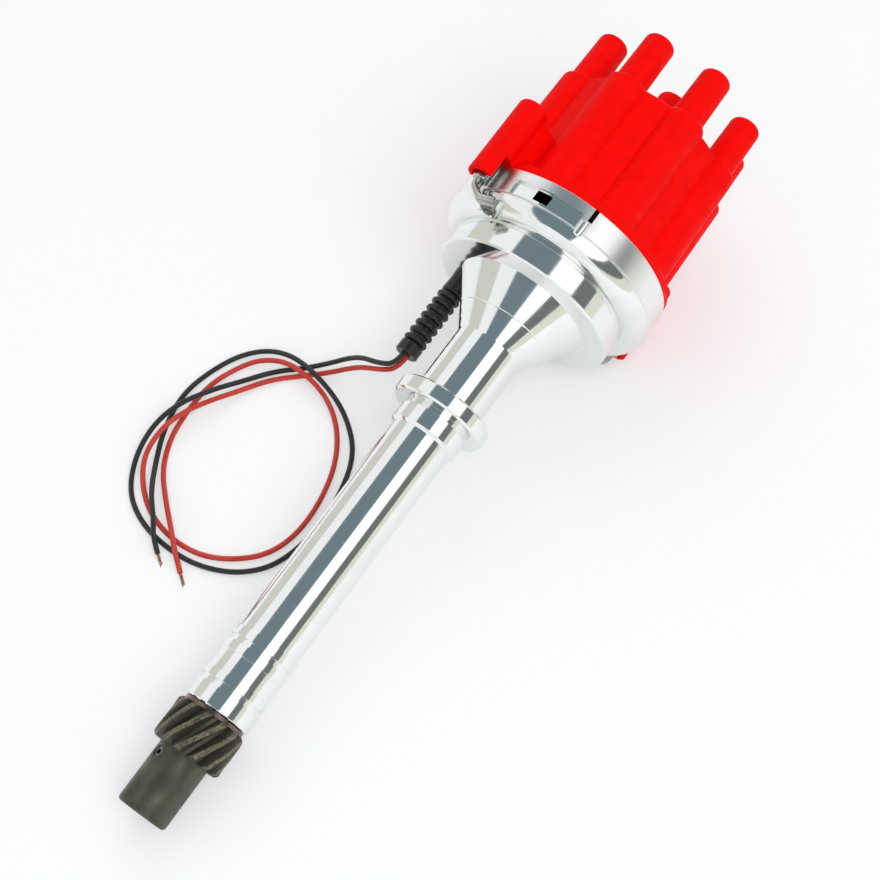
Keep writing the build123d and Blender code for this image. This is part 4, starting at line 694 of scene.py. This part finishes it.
@dataclass
class Leads:
    """The two loose pickup leads, their bare ends and the boot that they leave."""

    diameter: float = 2.3
    black_length: float = 503.2
    red_length: float = 472.1
    bare_length: float = 7.0
    bare_overlap: float = 1.0
    wire_radius: float = 0.24
    wires: int = 7
    wire_spread: float = 1.9
    wire_twist: float = 150.0
    wire_stagger: float = 0.25
    wire_steps: int = 14
    boot_low: float = 22.2
    boot_radius: float = 5.3
    boot_edge: float = 0.5
    boot_ring: float = 36.0
    boot_turn: float = -113.0
    plug_length: float = 5.5
    rings: int = 7
    ring_start: float = 1.9
    ring_steps: int = 8
    ring_pitch: float = 4.1
    ring_radius: float = 5.6
    ring_half: float = 1.55
    ring_floor: float = 3.7
    neck_radius: float = 4.15
    flange_radius: float = 6.6
    flange_thickness: float = 1.6
    disc_bottom: float = 62.7
    bowl_floor: float = 80.5
    black: tuple = (
        (26.61, 33.7, 29.29), (19.9, 33.9, 28.3), (17.5, 41, 26), (18.5, 50.5, 20.5),
        (18, 58.5, 13), (15.5, 66, 5.5), (8.5, 75.5, 1.3), (-1.3, 86.1, 1.3), (-14, 94.4, 1.8),
        (-25, 100, 5), (-39.5, 107, 6.6), (-54, 109.6, 6.4), (-69.5, 107.8, 2.6),
        (-84.5, 99, 1.3), (-92.6, 85.5, 1.3), (-95.6, 69.4, 1.3), (-94.6, 52.5, 1.3),
        (-87.5, 36.5, 1.3), (-74.5, 25.4, 1.3), (-51.5, 22, 1.3), (-28.7, 25.6, 1.3),
        (-13, 32.2, 1.3), (-2.4, 43.8, 2.6), (3.2, 56.8, 6.8), (8.2, 77.7, 6.8),
        (6.7, 92.8, 3.2), (-2.9, 103.7, 1.3), (-18.5, 109.4, 1.3), (-34.3, 111.6, 1.3),
        (-52.3, 106.8, 1.3), (-67.2, 98.8, 1.3), (-80.6, 89.2, 5.6), (-90.4, 79, 6.9),
        (-96, 75, 4.9), (-100, 69.5, 1.9))
    red: tuple = (
        (26.98, 32.57, 26.65), (20.06, 32.7, 25.66), (16.5, 39, 23.6), (16, 48, 18),
        (15.2, 56, 10.5), (12, 64, 3.8), (4.5, 74, 1.3), (-5.4, 84.6, 1.3), (-19.3, 92.4, 2.2),
        (-31.4, 97.9, 5.5), (-44, 103.3, 6.8), (-56.5, 105.2, 6.8), (-69.6, 103.2, 4.6),
        (-80.6, 94.6, 1.5), (-88, 83, 1.3), (-91.3, 68.6, 1.3), (-90.1, 54.4, 1.3),
        (-83.4, 41.9, 1.3), (-73.2, 32, 1.3), (-59.6, 28, 1.3), (-43.1, 28.9, 1.3),
        (-25, 33.9, 1.3), (-10.6, 42.7, 1.3), (-1.4, 53.4, 2.8), (2.3, 64.6, 6.8),
        (4.2, 80.7, 6.8), (0.4, 93.2, 3), (-8.4, 100.2, 1.3), (-23.9, 105.3, 1.3),
        (-42.2, 104, 1.3), (-55.6, 100.9, 1.3), (-68.5, 93.9, 1.3), (-79.9, 81.6, 5),
        (-90, 69.5, 6.8), (-95.5, 63.8, 3.9), (-101.2, 56.3, 1.5))

    def line(self, name: str, route: tuple, finish: Finish) -> bpy.types.Object:
        """Makes one lead as a smooth curve through its loose bends.

        Args:
            name: Name of the piece.
            route: Control points in millimetres.
            finish: Its insulation.

        Returns:
            The curve object.
        """
        data = bpy.data.curves.new(name, "CURVE")
        data.dimensions = "3D"
        spline = data.splines.new("NURBS")
        spline.points.add(len(route) - 1)
        for point, place in zip(spline.points, route):
            point.co = (place[0] * MM, place[1] * MM, place[2] * MM, 1.0)
        spline.order_u = 3
        spline.use_endpoint_u = True
        spline.resolution_u = 10
        data.bevel_depth = self.diameter / 2 * MM
        data.bevel_resolution = 5
        data.use_fill_caps = True
        piece = bpy.data.objects.new(name, data)
        bpy.context.collection.objects.link(piece)
        coat(piece, finish)
        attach(piece, "stator")
        LOG.info("%s: %s", name, finish.name)
        return piece

    def bare_end(self, name: str, route: tuple) -> bpy.types.Object:
        """Makes the twisted bare wires at the end of a lead.

        Args:
            name: Name of the piece.
            route: Control points of its lead.

        Returns:
            The mesh object.
        """
        deselect_all()
        twist = []
        for wire in range(self.wires):
            angle = 2 * math.pi * wire / (self.wires - 1)
            off = 0.0 if wire == self.wires - 1 else self.wire_spread * self.wire_radius
            bpy.ops.mesh.primitive_circle_add(
                vertices=8, radius=self.wire_radius * MM, fill_type="NGON",
                location=(off * math.cos(angle) * MM, off * math.sin(angle) * MM, 0.0))
            strand = bpy.context.object
            bpy.ops.object.transform_apply(location=True, rotation=True, scale=True)
            turn = strand.modifiers.new("twist", "SCREW")
            turn.axis = "Z"
            turn.angle = math.radians(self.wire_twist)
            turn.screw_offset = (self.bare_length - self.wire_stagger * wire) * MM
            turn.steps = self.wire_steps
            turn.render_steps = self.wire_steps
            bpy.ops.object.modifier_apply(modifier="twist")
            twist.append(strand)
        for strand in twist:
            strand.select_set(True)
        bpy.ops.object.join()
        bunch = bpy.context.object
        bunch.name = name
        bpy.ops.object.mode_set(mode="EDIT")
        bpy.ops.mesh.select_all(action="SELECT")
        bpy.ops.mesh.remove_doubles(threshold=1e-6)
        bpy.ops.mesh.normals_make_consistent(inside=False)
        bpy.ops.object.mode_set(mode="OBJECT")
        bpy.ops.object.shade_smooth_by_angle(angle=math.radians(40.0))
        before, last = (Vector(point) * MM for point in route[-2:])
        along = (last - before).normalized()
        bunch.matrix_world = (Matrix.Translation(last - along * self.bare_overlap * MM)
                              @ along.to_track_quat("Z", "Y").to_matrix().to_4x4())
        bpy.ops.object.transform_apply(location=True, rotation=True, scale=True)
        coat(bunch, STRAND)
        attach(bunch, "stator")
        LOG.info("%s: %s", name, STRAND.name)
        return bunch

    def build(self) -> None:
        black = self.line("lead_black", self.black, BLACK_PVC)
        red = self.line("lead_red", self.red, RED_PVC)
        black_end = self.bare_end("bare_end_black", self.black)
        red_end = self.bare_end("bare_end_red", self.red)
        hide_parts("black_lead")
        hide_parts("red_lead")
        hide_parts("stripped_ends")
        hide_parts("stripped_ends")

    def boot(self) -> None:
        """Turns the boot with its round rings and puts it in the node's place."""
        radius, low, edge = self.boot_radius, self.boot_low, self.boot_edge
        plug_top = low + self.plug_length
        corners = [(0.0, low), (radius - edge, low), (radius, low + edge),
                   (radius, plug_top - edge), (self.ring_floor, plug_top + 0.4)]
        swell = self.ring_radius - self.ring_floor
        for ring in range(self.rings):
            middle = plug_top + self.ring_start + ring * self.ring_pitch
            for step in range(self.ring_steps + 1):
                angle = math.pi * step / self.ring_steps
                corners.append((self.ring_floor + swell * math.sin(angle),
                                middle - self.ring_half * math.cos(angle)))
        top = corners[-1][1]
        flange_top = self.bowl_floor + self.flange_thickness
        corners += [(radius - 0.4, top + 0.6), (radius - 0.2, top + 1.6),
                    (radius - edge, self.disc_bottom), (self.neck_radius, self.disc_bottom),
                    (self.neck_radius, self.bowl_floor), (self.flange_radius, self.bowl_floor),
                    (self.flange_radius, flange_top), (0.0, flange_top)]
        piece = turned_profile("boot_moulded", corners, 72, 0.08)
        place_upright(piece, self.boot_ring, self.boot_turn)
        lay_down(piece, 50.0)
        coat(piece, BOOT)
        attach(piece, "stator")
        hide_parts("strain_relief")
        LOG.info("boot_moulded: %s", BOOT.name)


@dataclass
class Housing:
    """Turned housing with its bushing, seal and ball bearing, sizes in millimetres."""

    shank_radius: float = 13.8
    shank_end: float = -147.7
    land_radius: float = 14.4
    end_land_radius: float = 14.3
    groove_radius: float = 13.3
    land_tops: tuple[float, float, float] = (-114.6, -121.2, -133.6)
    land_bottoms: tuple[float, float, float] = (-118.9, -125.3, -137.4)
    end_land_top: float = -139.8
    neck_radius: float = 15.5
    neck_top: float = -2.2
    neck_bottom: float = -9.7
    undercut_radius: float = 14.3
    collar_radius: float = 21.6
    collar_height: float = 7.3
    collar_chamfer: float = 0.9
    barrel_radius: float = 15.2
    cone_start: float = 37.7
    cone_middle: tuple[float, float] = (21.5, 48.2)
    cone_top_radius: float = 30.25
    disc_bottom: float = 62.7
    disc_top: float = 74.0
    disc_radius: float = 41.6
    bowl_radius: float = 50.8
    bowl_bottom: float = 74.6
    bowl_corner: float = 7.4
    band_bottom: float = 81.6
    band_top: float = 95.2
    band_radius: float = 50.4
    band_wall: float = 4.0
    chamber_radius: float = 44.0
    bowl_floor: float = 80.5
    bearing_radius: float = 14.29
    bearing_bottom: float = 71.16
    seal_radius: float = 11.0
    seal_bottom: float = 63.66
    tunnel_radius: float = 7.2
    tunnel_foot: float = -113.3
    bushing_radius: float = 8.5
    pocket: tuple[float, float, float, float] = (-21.5, 15.5, 83.2, 90.2)
    pocket_depth: float = 1.6
    window: tuple[float, float, float, float] = (-9.2, -1.0, 85.0, 89.8)
    nub: tuple[float, float, float, float] = (2.7, 18.6, 80.4, 88.2)
    key: tuple[float, float, float] = (2.0, 19.9, 5.6)
    hook_seat: tuple[float, float, float] = (7.0, 49.0, 78.4)
    hook_turns: tuple[float, float] = (-27.5, 152.5)
    boot_hole: tuple[float, float, float] = (4.2, 36.0, -113.0)
    steps: int = 256
    corner_step: float = 6.0
    edge: float = 0.14
    nub_round: float = 0.5
    nub_sink: float = 0.55

    def shank(self) -> list[tuple[float, float]]:
        """Gives the outside corners from the end of the shank up to the barrel."""
        corners = [(self.bushing_radius, self.shank_end),
                   (self.end_land_radius - 0.6, self.shank_end),
                   (self.end_land_radius, self.shank_end + 0.6),
                   (self.end_land_radius, self.end_land_top),
                   (self.groove_radius, self.end_land_top)]
        floors = (self.shank_radius, self.groove_radius, self.shank_radius)
        lands = zip(reversed(self.land_bottoms), reversed(self.land_tops), floors)
        for low, high, after in lands:
            corners += [(corners[-1][0], low), (self.land_radius, low),
                        (self.land_radius, high), (after, high)]
        return corners + [
            (self.shank_radius, self.neck_bottom - 1.2), (self.neck_radius, self.neck_bottom),
            (self.neck_radius, self.neck_top), (self.undercut_radius, self.neck_top),
            (self.undercut_radius, 0.0), (self.collar_radius - self.collar_chamfer, 0.0),
            (self.collar_radius, self.collar_chamfer),
            (self.collar_radius, self.collar_height - self.collar_chamfer),
            (self.collar_radius - self.collar_chamfer, self.collar_height),
            (self.barrel_radius, self.collar_height), (self.barrel_radius, self.cone_start)]

    def bowl(self) -> list[tuple[float, float]]:
        """Gives the outside corners of the cone, the disc and the bowl."""
        middle_radius, middle = self.cone_middle
        centre = (self.bowl_radius - self.bowl_corner, self.bowl_bottom + self.bowl_corner)
        turns = [math.radians(self.corner_step * step)
                 for step in range(int(90.0 / self.corner_step) + 1)]
        corner = [(centre[0] + self.bowl_corner * math.sin(angle),
                   centre[1] - self.bowl_corner * math.cos(angle)) for angle in turns]
        band = self.band_bottom + 1.0
        return [(middle_radius - 0.12, middle - 0.2), (middle_radius - 0.3, middle),
                (middle_radius + 0.12, middle + 0.2), (self.cone_top_radius, self.disc_bottom),
                (self.disc_radius - 0.8, self.disc_bottom),
                (self.disc_radius, self.disc_bottom + 0.8),
                (self.disc_radius, self.disc_top - 0.6),
                (self.disc_radius - 1.0, self.disc_top),
                (self.disc_radius - 1.0, self.bowl_bottom), *corner,
                (self.bowl_radius, band - 0.3), (self.band_radius - 1.0, band - 0.4),
                (self.band_radius, band + 0.6), (self.band_radius, self.band_top - 0.5),
                (self.band_radius - 0.5, self.band_top)]

    def inside(self) -> list[tuple[float, float]]:
        """Gives the corners inside the bowl, down through the bearing seat and bore."""
        wall = self.band_radius - self.band_wall
        return [(wall, self.band_top), (wall, self.bowl_floor + 6.0),
                (self.chamber_radius, self.bowl_floor + 4.0),
                (self.chamber_radius, self.bowl_floor), (self.bearing_radius, self.bowl_floor),
                (self.bearing_radius, self.bearing_bottom),
                (self.seal_radius, self.bearing_bottom), (self.seal_radius, self.seal_bottom),
                (self.tunnel_radius, self.seal_bottom), (self.tunnel_radius, self.tunnel_foot),
                (self.bushing_radius, self.tunnel_foot), (self.bushing_radius, self.shank_end)]

    def sector(self, name: str, span: tuple[float, float, float, float],
               depth: float) -> bpy.types.Object:
        """Makes a cutter for a recess in the band.

        Args:
            name: Name of the cutter.
            span: First and last degree, and the lower and upper height.
            depth: How deep it cuts into the band.

        Returns:
            The cutter.
        """
        first, last, low, high = span
        inner, outer = self.band_radius - depth, self.band_radius + 1.0
        corners = [(inner, low), (outer, low), (outer, high), (inner, high), (inner, low)]
        cutter = turned_profile(name, corners, 32, sweep=last - first)
        place_upright(cutter, 0.0, first)
        return cutter

    def cutters(self) -> list[bpy.types.Object]:
        """Makes the cutters for the recess, the window, the seats, the key and the boot."""
        made = [self.sector("cut_pocket", self.pocket, self.pocket_depth),
                self.sector("cut_window", self.window, self.band_wall + 1.0)]
        radius, ring, top = self.hook_seat
        for turn in self.hook_turns:
            seat = post("cut_hook_seat", radius, self.disc_top - 6.0, top)
            place_upright(seat, ring, turn)
            combine(seat, post("keep_disc", self.disc_radius + 0.3, self.disc_top - 7.0,
                               top + 1.0, self.steps), "DIFFERENCE")
            made.append(seat)
        width, turn, depth = self.key
        bpy.ops.mesh.primitive_cube_add(size=MM, location=(0, 0, (self.band_top - depth / 2) * MM))
        key = bpy.context.object
        key.name = "cut_key"
        key.scale = (2 * self.band_wall + 4.0, width, depth + 2.0)
        bpy.ops.object.transform_apply(location=True, rotation=True, scale=True)
        bpy.ops.transform.translate(value=(0.0, 0.0, 1.0 * MM))
        place_upright(key, self.band_radius, turn)
        made.append(key)
        hole = post("cut_boot_hole", self.boot_hole[0], self.disc_bottom - 1.0,
                    self.bowl_floor + 1.0, 48)
        place_upright(hole, *self.boot_hole[1:])
        made.append(hole)
        return made

    def build(self) -> None:
        """Turns the housing, cuts it, adds the stop nub and puts it in the node's place."""
        outline = self.shank() + self.bowl() + self.inside()
        body = turned_profile("housing_turned", outline + outline[:1], self.steps, self.edge)
        radius, turn, low, high = self.nub
        nub = post("housing_nub", radius, low, high, 48)
        bpy.ops.object.mode_set(mode="EDIT")
        bpy.ops.mesh.select_mode(type="EDGE")
        bpy.ops.mesh.select_all(action="DESELECT")
        bpy.ops.mesh.edges_select_sharp(sharpness=math.radians(60.0))
        bpy.ops.mesh.bevel(offset=self.nub_round * radius * MM, segments=6, affect="EDGES")
        bpy.ops.object.mode_set(mode="OBJECT")
        place_upright(nub, self.band_radius - self.nub_sink * radius, turn)
        for cutter in self.cutters():
            combine(body, cutter, "DIFFERENCE")
        combine(body, nub, "UNION")
        lay_down(body)
        coat(body, HOUSING)
        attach(body, "stator")
        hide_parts("housing")
        LOG.info("housing_turned: %s", HOUSING.name)

    def dress(self) -> None:
        """Gives the pieces inside the housing their finishes."""
        dress(("lower_bushing",), BRONZE)
        dress(("oil_seal",), SEAL)
        dress(("bearing_outer_ring", "bearing_inner_ring", "bearing_balls"), BEARING)
        dress(("bearing_cage",), CAGE)
        dress(("bearing_circlip",), SPRING)


@dataclass
class DriveTrain:
    """Shaft, helical gear, spring pin and thrust washers."""

    def dress(self) -> None:
        """Gives the turning pieces their finishes."""
        dress(("drive_shaft",), GROUND)
        dress(("drive_gear",), GEAR)
        dress(("gear_roll_pin",), SPRING)
        dress(("thrust_washers",), WASHER)


@dataclass
class AdvanceAndPickup:
    """Pickup, reluctor, weights, cam and rotor inside the bowl."""

    def dress(self) -> None:
        """Gives the inner pieces their finishes."""
        dress(("pickup_plate", "pickup_plate_screws", "rotor_screws"), ZINC)
        dress(("pickup_coil",), RESIN)
        dress(("pickup_pole_piece", "reluctor"), CORE)
        dress(("advance_sleeve", "weight_pins"), GROUND)
        dress(("advance_weight_a", "advance_weight_b", "advance_cam"), SINTERED)
        dress(("cam_clip", "advance_spring_a", "advance_spring_b", "rotor_leaf"), SPRING)
        dress(("stop_bushing", "rotor_blade"), BRASS)
        dress(("rotor",), ROTOR)


@dataclass
class CapAndLatches:
    """Eight-tower cap, its terminals and the two screw-down latches."""

    foot_inside: float = 39.9
    foot_outside: float = 43.2
    foot_top_radius: float = 41.3
    foot_low: float = 98.6
    foot_shoulder: float = 99.9
    foot_top: float = 101.5

    def build(self) -> None:
        """Turns the foot ring that joins the flutes of the cap to its rim."""
        corners = [(self.foot_inside, self.foot_low), (self.foot_outside, self.foot_low),
                   (self.foot_outside, self.foot_shoulder),
                   (self.foot_top_radius, self.foot_top), (self.foot_inside, self.foot_top)]
        ring = turned_profile("cap_foot_ring", corners + corners[:1], 144)
        lay_down(ring, 40.0)
        coat(ring, CAP)
        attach(ring, "stator")
        LOG.info("cap_foot_ring: %s", CAP.name)

    def dress(self) -> None:
        """Gives the cap and its hardware their finishes."""
        dress(("cap",), CAP)
        dress(("outer_terminals", "centre_terminal"), BRASS)
        dress(("carbon_button",), CARBON)
        dress(("button_spring", "latch_spring_a", "latch_spring_b"), SPRING)
        dress(("latch_a", "latch_b", "latch_washer_a", "latch_washer_b"), ZINC)


def main() -> None:
    """Builds and dresses the part, one sub-assembly after another."""
    logging.basicConfig(level=logging.INFO, format="%(message)s")
    studio = Studio()
    studio.camera()
    leads = Leads()
    leads.build()
    studio.build()
    housing = Housing()
    housing.build()
    leads.boot()
    cap = CapAndLatches()
    cap.build()
    for group in (housing, DriveTrain(), AdvanceAndPickup(), cap):
        group.dress()


if __name__ == "__main__":
    main()
